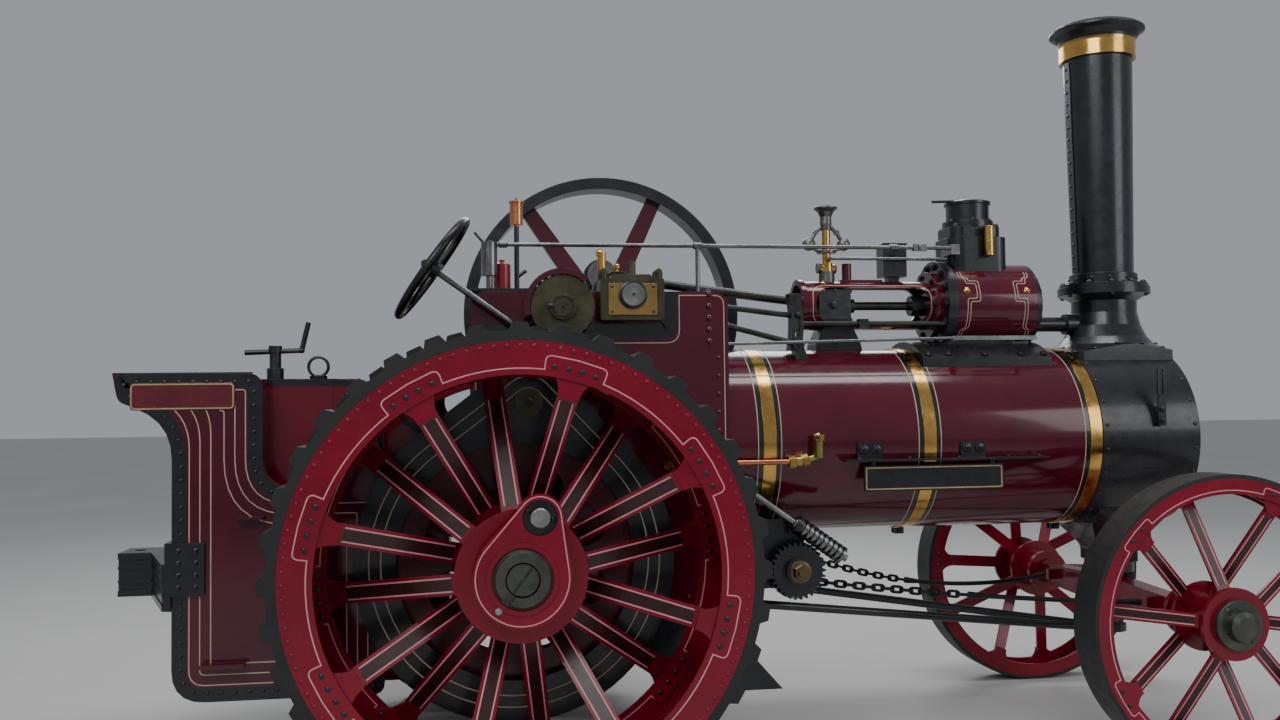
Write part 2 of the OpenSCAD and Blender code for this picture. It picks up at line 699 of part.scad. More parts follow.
module crankshaft_body() {
    web_y = 42;
    web_t = 34;
    color(steel) {
        for (s = [-1, 1]) {
            y0 = s < 0 ? -web_y - web_t : web_y;
            across(y0, y0 + web_t) {
                translate([crank_x, motion_z]) circle(70);
                translate([crank_pin.x, crank_pin.z]) circle(62);
                translate([crank_x, motion_z]) rotate(crank_angle) translate([0, -62]) square([throw, 124]);
            }
        }
        bar_y(crank_pin.x, crank_pin.z, -web_y, web_y, 42);
        bar_y(crank_x, motion_z, -560, -web_y, crank_r);
        bar_y(crank_x, motion_z, web_y, fly_in + fly_w + 14, crank_r);
        // Eccentric sheaves
        for (y = [-160, -210]) translate([-18, 0, 20]) bar_y(crank_x, motion_z, y, y + 34, 92);
    }
}

module crank_bearings_body() {
    half = 129.5;
    for (s = [-1, 1]) {
        y0 = s < 0 ? -528 : 395;
        y1 = s < 0 ? -395 : fly_in - 8;
        color(brass) difference() {
            union() {
                across(y0, y1) polygon(rounded([[crank_x - half, motion_z - 100, 10],
                    [crank_x + half, motion_z - 100, 10],
                    [crank_x + half, motion_z + 68, 10], [crank_x - half, motion_z + 68, 10]]));
                // Brass face plate, and the cap with its cast bosses
                across(s < 0 ? y0 - 8 : y0, s < 0 ? y0 + 1 : y1 - 1)
                    polygon(rounded([[crank_x - 98, motion_z - 80, 6], [crank_x + 98, motion_z - 80, 6],
                        [crank_x + 98, motion_z + 47, 6], [crank_x - 98, motion_z + 47, 6]]));
                across(y0 + 20, y1 - 12) polygon(rounded([[crank_x - 92, motion_z + 66, 0],
                    [crank_x + 92, motion_z + 66, 0],
                    [crank_x + 76, motion_z + 86, 8], [crank_x - 76, motion_z + 86, 8]]));
                for (x = [-112, 112], y = [y0 + 26, y1 - 26])
                    bar_z(crank_x + x, y, motion_z + 60, motion_z + 96, 15);
                bar_z(crank_x - 116, (y0 + y1) / 2, motion_z + 60, motion_z + 110, 8);
                bar_z(crank_x - 116, (y0 + y1) / 2, motion_z + 104, motion_z + 180, 17);
                bar_z(crank_x + 6, (y0 + y1) / 2, motion_z + 80, motion_z + 144, 17);
            }
            bar_y(crank_x, motion_z, -700, 700, crank_r + seat_gap);
        }
    }
}

// Eccentric straps and rods, the curved expansion link, the valve rod and the link's hanger
module valve_gear_body() {
    link = [1255, -162, motion_z - 85];
    valve_z = motion_z - 92;
    sheave = [crank_x - 18, motion_z + 20];
    link_half = 125;
    bow = 700;
    color(steel) {
        for (p = [[-160, 30, 10], [-210, -100, -25]]) {
            y = p[0];
            difference() {
                union() {
                    bar_y(sheave.x, sheave.y, y - 1, y + 35, 112);
                    across(y + 4, y + 30) polygon([[sheave.x, sheave.y + 60],
                        [sheave.x + 150, sheave.y + p[2] + 16],
                        [sheave.x + 150, sheave.y + p[2] - 24], [sheave.x, sheave.y - 70]]);
                }
                bar_y(sheave.x, sheave.y, y - 2, y + 36, 92 + seat_gap);
            }
            rod([sheave.x + 130, y + 17, sheave.y + p[2] - 4], [link.x, y + 17, link.z + p[1]], 13);
            bar_y(link.x, link.z + p[1], y + 4, y + 30, 26);
        }
        across(-195, -129) difference() {
            intersection() {
                translate([link.x - bow, link.z]) difference() {
                    circle(bow + 26, $fn = 128);
                    circle(bow - 26, $fn = 128);
                }
                translate([link.x - 100, link.z - link_half]) square([200, 2 * link_half]);
            }
            intersection() {
                translate([link.x - bow, link.z]) difference() {
                    circle(bow + 11, $fn = 128);
                    circle(bow - 11, $fn = 128);
                }
                translate([link.x - 100, link.z - link_half + 60]) square([200, 2 * link_half - 150]);
            }
        }
        // Die block and valve rod with its guide
        bar_y(link.x, link.z - 8, -190, -134, 24);
        bar_x(link.y, valve_z, link.x, cyl_x0 - seat_gap, 12);
        translate([1540, link.y - 20, valve_z - 20]) cube([44, 40, 40]);
        // Hanger from the reversing shaft
        difference() {
            across(-196, -130) polygon([[link.x - 12, boiler_z + 330], [link.x + 60, boiler_z + 330],
                [link.x + 24, link.z - 110], [link.x - 14, link.z - 110]]);
            translate([link.x - 200, 0, boiler_z]) rotate([0, 90, 0])
                cylinder(h = 500, r = boiler_r + seat_gap, $fn = 128);
        }
    }
}

// Governor: a cup on the spindle, two curved arms with their balls, sleeve, and the bevel box on the guide
module governor_body() {
    x = 1452;
    foot_z = motion_z + guide_r;
    ball_x = 82;
    ball_z = motion_z + 284;
    color(steel) {
        difference() {
            bar_z(x, 0, foot_z - 10, foot_z + 46, 36);
            bar_x(0, motion_z, x - 60, x + 60, guide_r + seat_gap);
        }
        bar_x(0, foot_z + 62, x - 46, x + 42, 24);
        bar_z(x, 0, foot_z + 40, foot_z + 84, 30);
        bar_z(x, 0, foot_z + 80, foot_z + 250, 19);
        bar_z(x, 0, foot_z + 130, foot_z + 142, 44);
        translate([x, 0, foot_z + 236]) rotate_extrude()
            polygon([[0, 0], [24, 0], [27, 30], [26, 62], [36, 84], [54, 100], [54, 106], [46, 111],
                [0, 111]]);
        for (s = [-1, 1]) {
            rod([x + s * 22, 0, foot_z + 252], [x + s * 50, 0, foot_z + 226], 9);
            bar_y(x + s * 50, foot_z + 226, -12, 12, 11);
            rod([x + s * 50, 0, foot_z + 226], [x + s * ball_x, 0, ball_z], 9);
            translate([x + s * ball_x, 0, ball_z]) rotate([0, 0, s < 0 ? 180 : 0]) sphere(r = 31);
            rod([x + s * ball_x, 0, ball_z - 10], [x + s * 30, 0, foot_z + 136], 7);
        }
    }
}

rod_z = motion_z + 245;
rod_y = -200;
// Regulator and governor rods, the driver's post, and the long rod beside the boiler
module regulator_rods_body() {
    post_x = -88;
    low_z = motion_z + 212;
    flat_z = motion_z - 165;
    color(steel) {
        bar_x(rod_y, rod_z, post_x, dome_x - 130 - 20, 9);
        bar_x(-60, low_z, 1452, dome_x - 130 - seat_gap, 8);
        bar_y(1452, low_z, -60, -30 - seat_gap, 8);
        rod([808, rod_y, horn_z1 + 8], [808, rod_y, rod_z], 9);
        translate([1790, rod_y - 14, rod_z - 14]) cube([60, 28, 28]);
        translate([dome_x - 130 - 45, rod_y - 12, rod_z - 30]) cube([40, 12 - rod_y - dome_y, 46]);
        translate([dome_x - 130 - 45, -dome_y - 1, rod_z - 30]) cube([45 - seat_gap, 20, 46]);
        translate([796, -horn_out, horn_z1 + seat_gap]) cube([24, 2 * horn_out, 16]);
        bar_z(post_x, rod_y, horn_z1 + 12 + 2 * seat_gap, rod_z + 14, 14);
        bar_z(post_x, rod_y, rod_z - 134, rod_z + 8, 34);
        rod([post_x, rod_y, rod_z - 20], [post_x - 60, rod_y, rod_z + 50], 7);
    }
    color(steel) {
        rod([fire_x1 - 60, -300, flat_z - 24], [cyl_x0 - 25, -300, flat_z], 7);
        bar_y(fire_x1 - 60, flat_z - 24, -horn_in + seat_gap, -293, 11);
        translate([cyl_x0 - 30, -308, flat_z - 9]) cube([390, 16, 18]);
        for (x = [cyl_x0 + 20, cyl_x0 + 330]) translate([x, -300, flat_z - 9]) cube([24, 150 - seat_gap, 14]);
    }
}

exhaust_z = 1838;
module exhaust_pipe_body() {
    z = exhaust_z;
    color(black) {
        bar_x(0, z, cyl_x1 + seat_gap, stack_x - 205 - seat_gap, 34);
        bar_x(0, z, cyl_x1 + seat_gap, cyl_x1 + 22, 60);
    }
}

module side_shelf_body() {
    y = -boiler_r - seat_gap;
    shelf_x = 1372;
    shelf_z = boiler_z - 82;
    color(black) {
        translate([shelf_x, y - 70, shelf_z]) cube([900, 66, 8]);
        for (x = [68, 528]) translate([shelf_x + x, y - 8, shelf_z]) cube([110, 8, 76]);
        translate([shelf_x + 93, y - 18, shelf_z - 128]) cube([620, 8, 107]);
        for (x = [128, 658]) translate([shelf_x + x, y - 12, shelf_z - 86]) cube([20, 8, 90]);
    }
}

// Lubricators: the box on the guide, the pot on its stand and the oil can on the shelf over the hornplates
module lubricators_body() {
    shelf_z = horn_z1 + seat_gap;
    pot_x = 32;
    color(black) {
        translate([-165, -horn_out, shelf_z]) cube([275, 2 * horn_out, 12]);
        bar_z(pot_x, -100, shelf_z + 11, shelf_z + 330, 11);
        bar_z(pot_x, -100, shelf_z + 11, shelf_z + 30, 26);
        rod([pot_x, -100, shelf_z + 90], [pot_x + 40, -100, shelf_z + 120], 8);
    }
    color(copper) {
        bar_z(pot_x, -100, shelf_z + 318, shelf_z + 416, 28);
        bar_z(pot_x, -100, shelf_z + 412, shelf_z + 420, 33);
        bar_z(pot_x, -100, shelf_z + 419, shelf_z + 436, 6);
    }
    color(crimson) bar_z(-33, rod_y + 70, shelf_z + 12 + seat_gap, shelf_z + 140, 37);
    color(black) {
        translate([1708, -45, motion_z + guide_r + 20]) cube([112, 90, 148]);
        difference() {
            translate([1738, -25, motion_z + guide_r - 25]) cube([52, 50, 46]);
            bar_x(0, motion_z, 1600, 1900, guide_r + seat_gap);
        }
    }
}

module feed_pipe_body() {
    y = -440;
    color(brass) {
        bar_z(1262, y, 1255, 1330, 24);
        bar_y(1262, boiler_z - 20, y, -boiler_r - seat_gap, 20);
        bar_x(y, 1240, 1150, 1190, 22);
        rod([1190, y, 1240], [1262, y, 1262], 12);
    }
    color(copper) {
        bar_x(y, 1240, 640, 1152, 11);
        bar_y(640, 1240, y, -horn_out - seat_gap, 11);
        bar_y(640, 1240, -horn_out - 8, -horn_out - seat_gap, 30);
    }
}

module backhead_fittings_body() {
    x = fire_x0 - seat_gap;
    color(brass) {
        bar_x(-190, 1562, x - 56, x, 12);
        bar_x(-190, 1650, x - 56, x, 12);
        bar_z(x - 44, -190, 1548, 1668, 9);
        bar_x(130, 1630, x - 40, x, 62);
    }
    color(steel) bar_x(-40, 1610, x - 60, x, 16);
    color(steel) rod([x - 52, -40, 1610], [x - 52, 40, 1700], 9);
}

// Steering: handwheel, inclined shaft with its worm, worm wheel and chain barrel, chains
shaft_y = -475;
wheel_c = [-317, shaft_y, 2035];
worm_c = [1260, shaft_y, 910];
shaft_dir = (worm_c - wheel_c) / norm(worm_c - wheel_c);
module steering_wheel_body() {
    tilt = acos(shaft_dir.z);
    color(steel) translate(wheel_c) rotate([0, tilt, 0]) {
        rotate_extrude($fn = 72) translate([228, 0]) circle(16);
        difference() {
            translate([0, 0, -20]) cylinder(h = 50, r = 34);
            translate([0, 0, -21]) cylinder(h = 52, r = 14 + seat_gap);
        }
        for (k = [0 : 3]) rotate([0, 0, 90 * k + 45]) translate([26, -13, -6]) cube([194, 26, 12]);
    }
}

module steering_shaft_body() {
    a = wheel_c - 24 * shaft_dir;
    b = worm_c + 125 * shaft_dir;
    color(steel) {
        rod(a, b, 14);
        rod(worm_c - 145 * shaft_dir, worm_c - 104 * shaft_dir, collar_r);
        // Worm: a core and its thread, drawn as rings
        rod(worm_c - 105 * shaft_dir, worm_c + 105 * shaft_dir, worm_r - 14);
        for (k = [-4 : 4]) rod(worm_c + (24 * k - 6) * shaft_dir, worm_c + (24 * k + 6) * shaft_dir, worm_r);
    }
}

barrel_x = 1150;
barrel_z = 797;
barrel_r = 56;
worm_r = 38;
collar_r = 26;
// The worm wheel just clears the worm's thread
worm_wheel_r = norm(cross([barrel_x, shaft_y, barrel_z] - worm_c, shaft_dir)) - worm_r - 0.5;
module steering_barrel_body() {
    teeth = 30;
    eye = worm_c - 124 * shaft_dir;
    color(black) {
        bar_y(barrel_x, barrel_z, -330, 330, barrel_r);
        for (y = [-342, 330]) bar_y(barrel_x, barrel_z, y, y + 12, barrel_r + 16);
        bar_y(barrel_x, barrel_z, -505, 440, 34);
        bar_y(barrel_x, barrel_z, -530, -500, 55);
        translate([barrel_x, -450, barrel_z]) rotate([90, 0, 0])
            gear(teeth, worm_wheel_r / (1 + 1.8 / teeth), 50);
        bar_y(barrel_x, barrel_z, -505, -445, worm_wheel_r * 0.55);
        for (s = [-1, 1]) across(s < 0 ? -420 : 390, s < 0 ? -390 : 420)
            polygon(rounded([[fire_x1 + seat_gap, eye.z + 20, 0], [fire_x1 + seat_gap, fire_z0 + 60, 0],
                [barrel_x + 20, barrel_z - 62, 60], [barrel_x + 66, barrel_z + 10, 50],
                    [eye.x + 34, eye.z - 40, 20],
                [eye.x - 10, eye.z + 20, 30]]));
        // Bearing of the inclined shaft, beside the right bracket
        difference() {
            union() {
                rod(eye - 12 * shaft_dir, eye + 12 * shaft_dir, collar_r + 13);
                translate([eye.x - 34, eye.y + 20, eye.z - 36]) cube([30, 60, 34]);
            }
            rod(eye - 80 * shaft_dir, eye + 80 * shaft_dir, collar_r + seat_gap);
        }
    }
}

link_r = 9;
link_in = 40;
chain_pitch = 2 * link_in - seat_gap;
axle_eye = [wheelbase - 67, 430, front_r + 10];
// One link: two round ends and two straight sides, drawn along X in its own plane
module chain_link() {
    w = 2 * link_r + 3;
    l = link_in - w + link_r;
    for (s = [-1, 1]) translate([s * l, 0, 0]) rotate([0, 0, s < 0 ? 90 : -90])
        rotate_extrude(angle = 180, $fn = 8) translate([w, 0]) circle(link_r, $fn = 6);
    for (s = [-1, 1]) translate([-l, s * w, 0]) rotate([0, 90, 0]) cylinder(h = 2 * l, r = link_r, $fn = 6);
}

module steering_chains_body() {
    color(black) for (c = [[-1, -1, 9], [1, 1, 9]]) {
        // The chain leaves the barrel where its run touches it
        wrap_r = barrel_r + link_r * cos(30) + seat_gap;
        run = [axle_eye.x - barrel_x, axle_eye.z - barrel_z];
        leave = atan2(run[1], run[0]) + c[1] * acos(wrap_r / norm(run));
        a = [barrel_x + wrap_r * cos(leave), c[0] * 250, barrel_z + wrap_r * sin(leave)];
        b = [axle_eye.x, c[0] * axle_eye.y, axle_eye.z];
        v = b - a;
        n = c[2];
        translate(a) rotate([0, acos(v.z / norm(v)) - 90, atan2(v.y, v.x)]) {
            for (k = [0 : n - 1]) translate([link_in + link_r + k * chain_pitch, 0, 0])
                rotate([90 * (k % 2), 0, 0]) chain_link();
            translate([(n - 0.5) * chain_pitch + 50, 0, 0]) rotate([0, 90, 0])
                cylinder(h = norm(v) - (n - 0.5) * chain_pitch - 50 - 26, r = 11);
        }
    }
}

// Running gear
module rear_axle_body() {
    color(steel) {
        bar_y(0, rear_r, -hub_out - 24, hub_out + 24, rear_axle_r);
        for (s = [-1, 1]) bar_y(0, rear_r, s < 0 ? -rear_in + 22 : rear_in - 52,
            s < 0 ? -rear_in + 52 : rear_in - 22, 84);
    }
}

final_teeth = 64;
pinion_teeth = 16;
third_shaft = [50, 1500];
second_shaft = [187, 1873];
shaft_r = 34;
// Direction of the third shaft from the axle, and the pitch radii that make the gears meet
third_dir = atan2(third_shaft[1] - rear_r, third_shaft[0]);
third_dist = norm([third_shaft[0], third_shaft[1] - rear_r]);
final_r = third_dist * final_teeth / (final_teeth + pinion_teeth);
pinion_r = third_dist - final_r;
pinion_turn = third_dir + 180 + (third_dir * final_teeth + 180) / pinion_teeth;
gear_y = -500;
guard_y = tender_y + 4;
gear_w = 60;
module drive_gears_body() {
    color(crimson) difference() {
        translate([0, gear_y, rear_r]) rotate([90, 0, 0]) union() {
            gear(final_teeth, final_r, gear_w);
            cylinder(h = gear_w + 30, r = 110);
        }
        for (k = [0 : 7]) translate([0, gear_y - gear_w / 2, rear_r]) rotate([0, 45 * k + 22, 0])
            translate([final_r * 0.6, 0, 0]) rotate([90, 0, 0]) linear_extrude(100, center = true)
                round_rect([-70, -70], [70, 70], 50);
        bar_y(0, rear_r, -700, -300, rear_axle_r + seat_gap);
    }
}

// Second and third shafts: pinion, disc with its boss, and the gear behind it
module motion_gears_body() {
    disc_r = 125;
    color(steel) {
        translate([third_shaft[0], gear_y, third_shaft[1]]) rotate([90, 0, 0])
            rotate([0, 0, pinion_turn]) gear(pinion_teeth, pinion_r, gear_w);
        bar_y(third_shaft[0], third_shaft[1], -guard_y - 12, horn_out + 20, shaft_r);
        bar_y(third_shaft[0], third_shaft[1], -guard_y - 22, -guard_y - 8 - seat_gap, 55);
        bar_y(second_shaft[0], second_shaft[1], -612, horn_out + 20, shaft_r);
        bar_y(second_shaft[0], second_shaft[1], -624, -600, 52);
        bar_y(second_shaft[0], second_shaft[1], -602, -586, disc_r);
        translate([second_shaft[0], -430, second_shaft[1]]) rotate([90, 0, 0]) gear(28, 129, 100);
    }
}

// Gear wheel along Z with straight-sided teeth
module gear(teeth, pitch_r, width) {
    m = 2 * pitch_r / teeth;
    step = 360 / teeth;
    linear_extrude(width) polygon([for (k = [0 : teeth - 1], p = [[-1, -0.29], [0.9, -0.14], [0.9, 0.14],
        [-1, 0.29]])
        let (r = pitch_r + p[0] * m, a = (k + p[1]) * step) [r * cos(a), r * sin(a)]]);
}

// Teardrop guard outside the final gear, and the cover round the gear of the second shaft
module gear_guard_body() {
    outer = final_r + 126;
    lobe = 160;
    cover_r = 141;
    spread = acos((outer - lobe) / third_dist);
    color(black) across(-guard_y - 8, -guard_y) difference() {
        // A large and a small arc joined by straight edges that touch both
        polygon(concat(
            arc([0, rear_r], outer, third_dir + spread, third_dir + 360 - spread, 60),
            arc(third_shaft, lobe, third_dir - spread, third_dir + spread, 16)));
        translate([0, rear_r]) circle(outer - lobe, $fn = 128);
        translate(third_shaft) circle(shaft_r + seat_gap);
    }
    color(maroon) {
        across(-608, -horn_out - seat_gap) polygon(concat(arc(second_shaft, cover_r + 9, 48, 195, 32),
            arc(second_shaft, cover_r, 195, 48, 32)));
        across(-614, -607) polygon(concat(arc(second_shaft, cover_r + 9, 48, 195, 32),
            arc(second_shaft, cover_r - 13, 195, 48, 32)));
    }
}

// Points of an arc round c
function arc(c, r, a0, a1, n) = [for (k = [0 : n]) let (a = a0 + (a1 - a0) * k / n) c + r * [cos(a), sin(a)]];

pivot_z = front_r + 137;
module perch_bracket_body() {
    x0 = wheelbase - 187;
    x1 = wheelbase + 153;
    top = boiler_z - 268;
    color(black) difference() {
        intersection() {
            across(-260, 260) polygon(rounded([[x0, top, 0], [x1, top, 0], [x1, top - 110, 30],
                [wheelbase + 90, pivot_z + 60, 60],
                [wheelbase + 90, pivot_z, 0], [wheelbase - 90, pivot_z, 0],
                    [wheelbase - 90, pivot_z + 60, 60],
                [x0, top - 140, 30]]));
            along(x0 - 100, x1 + 100) polygon(rounded([[-250, top + 10, 0], [250, top + 10, 0],
                [250, top - 80, 20],
                [95, pivot_z + 90, 90], [95, pivot_z, 0], [-95, pivot_z, 0], [-95, pivot_z + 90, 90],
                    [-250, top - 80, 20]]));
        }
        translate([x0 - 200, 0, boiler_z]) rotate([0, 90, 0])
            cylinder(h = 700, r = boiler_r + 5 + seat_gap, $fn = 128);
        bar_z(wheelbase, 0, pivot_z - 20, pivot_z + 155, king_r + running_gap);
    }
}

module radius_rods_body() {
    z = front_r - 175;
    color(black) {
        difference() {
            bar_z(wheelbase, 0, z - 16, z + 16, 70);
            bar_z(wheelbase, 0, z - 20, z + 20, 30 + running_gap);
        }
        for (s = [-1, 1]) {
            rod([wheelbase - 60, s * 30, z], [fire_x1 + 60, s * 380, fire_z0 + 15], 18);
            translate([fire_x1 + seat_gap, s < 0 ? -405 : 355, fire_z0]) cube([62, 50, 54]);
        }
    }
}

// Axle beam, deepest at the fork and tapered to its round journals
module front_axle_body() {
    end = front_in - 165;
    color(crimson) {
        along(wheelbase - 45, wheelbase + 45) polygon(rounded([
            [-end, front_r - 44, 10], [-170, front_r - 62, 60], [170, front_r - 62, 60],
                [end, front_r - 44, 10],
            [end, front_r + 44, 10], [170, front_r + 62, 60], [-170, front_r + 62, 60],
                [-end, front_r + 44, 10]]));
        for (s = [-1, 1]) {
            bar_y(wheelbase, front_r, s < 0 ? -front_hub_out : end - 1, s < 0 ? 1 - end : front_hub_out,
                front_axle_r);
            bar_y(wheelbase, front_r, s < 0 ? -end - 10 : end - 4, s < 0 ? 4 - end : end + 10, 62);
            // Eye for the steering chain
            translate([axle_eye.x - 20, s * axle_eye.y - 14, axle_eye.z - 25]) cube([60, 28, 50]);
        }
    }
}

module axle_fork_body() {
    beam = 45 + seat_gap;
    color(black) {
        for (s = [-1, 1]) across(-75, 75)
            round_rect([wheelbase + (s < 0 ? -beam - 30 : beam), front_r - 90],
                [wheelbase + (s < 0 ? -beam : beam + 30), front_r + 100], 8);
        bar_z(wheelbase, 0, front_r + 90, pivot_z - 0.5, 110);
        bar_z(wheelbase, 0, front_r + 130, pivot_z + 133, king_r);
        translate([wheelbase - 75, -75, front_r - 96]) cube([150, 150, 30]);
        bar_z(wheelbase, 0, front_r - 195, front_r - 90, 30);
    }
}

dip_x1 = -655;
side_x1 = -500;
tank_x1 = -700;
tank_z1 = 985;
lip_x = tender_x0 - 211;
// Outline of a side plate: rear edge under the overhang, round corners, and the dip in front of the bunker
function side_outline() = [
    [tender_x0, tender_z0, 120], [side_x1, tender_z0, 40], [side_x1, 1420, 50], [dip_x1, 1420, 60],
    [dip_x1, dip_z, 110], [dip_x0, dip_z, 110], [dip_x0, tender_z1, 55],
    [lip_x, tender_z1, 0], [lip_x + 19, tender_z1 - 102, 40], [tender_x0, tender_z1 - 182, 130]];

// Tank with the bunker's back and front plates over it, the side plates, the boxes beside the coal door, steps
module tender_body_body() {
    t = plate_t;
    front_z = tender_z1 - 60;
    color(maroon) {
        for (s = [-1, 1]) across(s < 0 ? -tender_y : tender_y - t, s < 0 ? t - tender_y : tender_y)
            polygon(rounded(side_outline()));
        difference() {
            across(1 - tender_y, tender_y - 1) polygon(rounded([
                [tender_x0, tender_z0, 120], [tank_x1, tender_z0, 20], [tank_x1, tank_z1, 0],
                    [dip_x0, tank_z1, 0],
                [dip_x0, front_z, 0], [dip_x0 - t, front_z, 0], [dip_x0 - t, tank_z1, 0],
                    [tender_x0 + t, tank_z1, 0],
                [tender_x0 + t, tender_z1 - 175, 130 + t], [lip_x + 19 + t, tender_z1 - 94, 40 - t],
                [lip_x + t, tender_z1, 0], [lip_x, tender_z1, 0], [lip_x + 19, tender_z1 - 102, 40],
                [tender_x0, tender_z1 - 182, 130]]));
            translate([dip_x0 - 2 * t, -200, tank_z1]) cube([3 * t, 400, 260]);
        }
        for (s = [-1, 1]) translate([dip_x0 - 25, s < 0 ? -stand_y : 250, tank_z1 - 1])
            cube([tank_x1 - dip_x0 + 25, stand_y - 250, tender_z1 - 21 - tank_z1]);
        for (s = [-1, 1]) {
            translate([-1163, s < 0 ? -tender_y - 52 : tender_y - 1, 535]) cube([160, 53, 14]);
            translate([-1036, s < 0 ? -tender_y - 40 : tender_y - 1, 1076]) cube([100, 41, 10]);
        }
    }
}

// Platform between the tank and the firebox, its two sides and the box of the tank under it
module manstand_body() {
    x0 = tank_x1 + seat_gap;
    x1 = -175;
    y = horn_in - seat_gap;
    color(maroon) {
        translate([x0, -stand_y, floor_z - plate_t]) cube([x1 - x0, 2 * stand_y, plate_t]);
        translate([x1 - 25, -y, floor_z - plate_t]) cube([fire_x0 - 4 - x1 + 25, 2 * y, plate_t]);
        for (s = [-1, 1]) across(s < 0 ? -stand_y : stand_y - plate_t, s < 0 ? plate_t - stand_y : stand_y)
            polygon(rounded([[x0, floor_z - plate_t, 0], [x1, floor_z - plate_t, 0], [x1, 1260, 70],
                [x1 - 190, 1400, 120],
                [x0 + 110, tender_z1 - 22, 90], [x0, tender_z1 - 22, 0]]));
        translate([x0, -380, tender_z0]) cube([440, 760, floor_z - plate_t - tender_z0 + 1]);
    }
}

// Cast coupling: a tapered box with a pocket for the drawbar's eye, ribs, a wall plate and two cheeks
module drawbar_body() {
    x0 = -drawbar_reach;
    xw = tender_x0 - seat_gap;
    pin_z = 815;
    half = 88;
    y = tender_y + seat_gap;
    function plan(g) = [[xw, 520 - g], [xw - 60, 500 - g], [x0 + 130, 95 - g], [x0, 95 - g], [x0, g - 95],
        [x0 + 130, g - 95], [xw - 60, g - 500], [xw, g - 520]];
    color(black) difference() {
        union() {
            for (z = [pin_z - half, pin_z + half - 24]) translate([0, 0, z]) linear_extrude(24)
                polygon(plan(0));
            for (z = [pin_z - 34, pin_z + 22]) translate([0, 0, z]) linear_extrude(12) polygon(plan(2));
            translate([0, 0, pin_z - half + 10]) linear_extrude(2 * half - 20) polygon(plan(12));
            translate([xw - 22, -y - 14, pin_z - 60]) cube([22, 2 * (y + 14), 240]);
            for (s = [-1, 1]) translate([xw - 1, s < 0 ? -y - 14 : y, pin_z - 16]) cube([120, 14, 195]);
        }
        translate([x0 - 1, -66, pin_z - 50]) cube([160, 132, 100]);
        bar_z(x0 + 65, 0, pin_z - 300, pin_z + 300, 24);
    }
}

module brake_column_body() {
    x = -925;
    y = -430;
    foot = tender_z1 - 22 + seat_gap;
    arm_z = tender_z1 + 84;
    color(steel) {
        bar_z(x, y, foot, foot + 44, 32);
        bar_z(x, y, foot + 40, arm_z + 20, 22);
        bar_z(x, y, arm_z - 2, arm_z + 26, 26);
        rod([x - 115, y, arm_z], [x + 100, y, arm_z + 8], 10);
        translate([x + 100, y, arm_z + 8]) sphere(r = 12);
        rod([x + 100, y, arm_z + 8], [x + 126, y, arm_z + 118], 10);
        // Ring of the filler's lid
        bar_z(x + 160, y + 30, foot, foot + 14, 34);
        translate([x + 160, y + 30, foot + 50]) rotate([90, 0, 0]) rotate_extrude($fn = 48)
            translate([38, 0]) circle(6);
    }
}

from_axle() barrel_body();  // boiler_barrel
from_axle() bands_body();  // boiler_bands
from_axle() smokebox_body();  // smokebox
from_axle() smokebox_door_body();  // smokebox_door
from_axle() firebox_body();  // firebox
from_axle() firehole_door_body();  // firehole_door
from_axle() ashpan_body();  // ashpan
from_axle() hornplate(-1);  // hornplate_right
from_axle() hornplate(1);  // hornplate_left
from_axle() chimney_base_body();  // chimney_base
from_axle() chimney_stack_body();  // chimney_stack
from_axle() chimney_cap_body();  // chimney_cap
from_axle() cylinder_block_body();  // cylinder_block
from_axle() cylinder_lagging_body();  // cylinder_lagging
from_axle() safety_valve_body();  // safety_valve
from_axle() guide_bracket_body();  // guide_bracket
from_axle() lubricators_body();  // lubricators
from_axle() trunk_guide_body();  // trunk_guide
from_axle() crosshead_body();  // crosshead
from_axle() connecting_rod_body();  // connecting_rod
from_axle() crankshaft_body();  // crankshaft
from_axle() crank_bearings_body();  // crank_bearings
from_axle() valve_gear_body();  // valve_gear
from_axle() governor_body();  // governor
from_axle() regulator_rods_body();  // regulator_rods
from_axle() exhaust_pipe_body();  // exhaust_pipe
from_axle() side_shelf_body();  // side_shelf
from_axle() feed_pipe_body();  // feed_pipe
from_axle() backhead_fittings_body();  // backhead_fittings
from_axle() steering_wheel_body();  // steering_wheel
from_axle() steering_shaft_body();  // steering_shaft
from_axle() steering_barrel_body();  // steering_barrel
from_axle() steering_chains_body();  // steering_chains
from_axle() rear_axle_body();  // rear_axle
from_axle() drive_gears_body();  // drive_gears
from_axle() motion_gears_body();  // motion_gears
from_axle() gear_guard_body();  // gear_guard
from_axle() perch_bracket_body();  // perch_bracket
from_axle() radius_rods_body();  // radius_rods
from_axle() front_axle_body();  // front_axle
from_axle() axle_fork_body();  // axle_fork
from_axle() tender_body_body();  // tender_body
from_axle() manstand_body();  // manstand
from_axle() drawbar_body();  // drawbar
from_axle() brake_column_body();  // brake_column
from_axle() rear_wheel(-1);  // rear_wheel_right
from_axle() rear_tyre(-1);  // rear_tyre_right
from_axle() rear_hubcap(-1);  // rear_hubcap_right
from_axle() rear_wheel(1);  // rear_wheel_left
from_axle() rear_tyre(1);  // rear_tyre_left
from_axle() rear_hubcap(1);  // rear_hubcap_left
from_axle() front_wheel(-1);  // front_wheel_right
from_axle() front_tyre(-1);  // front_tyre_right
from_axle() front_hubcap(-1);  // front_hubcap_right
from_axle() front_wheel(1);  // front_wheel_left
from_axle() front_tyre(1);  // front_tyre_left
from_axle() front_hubcap(1);  // front_hubcap_left
from_axle() flywheel_body();  // flywheel
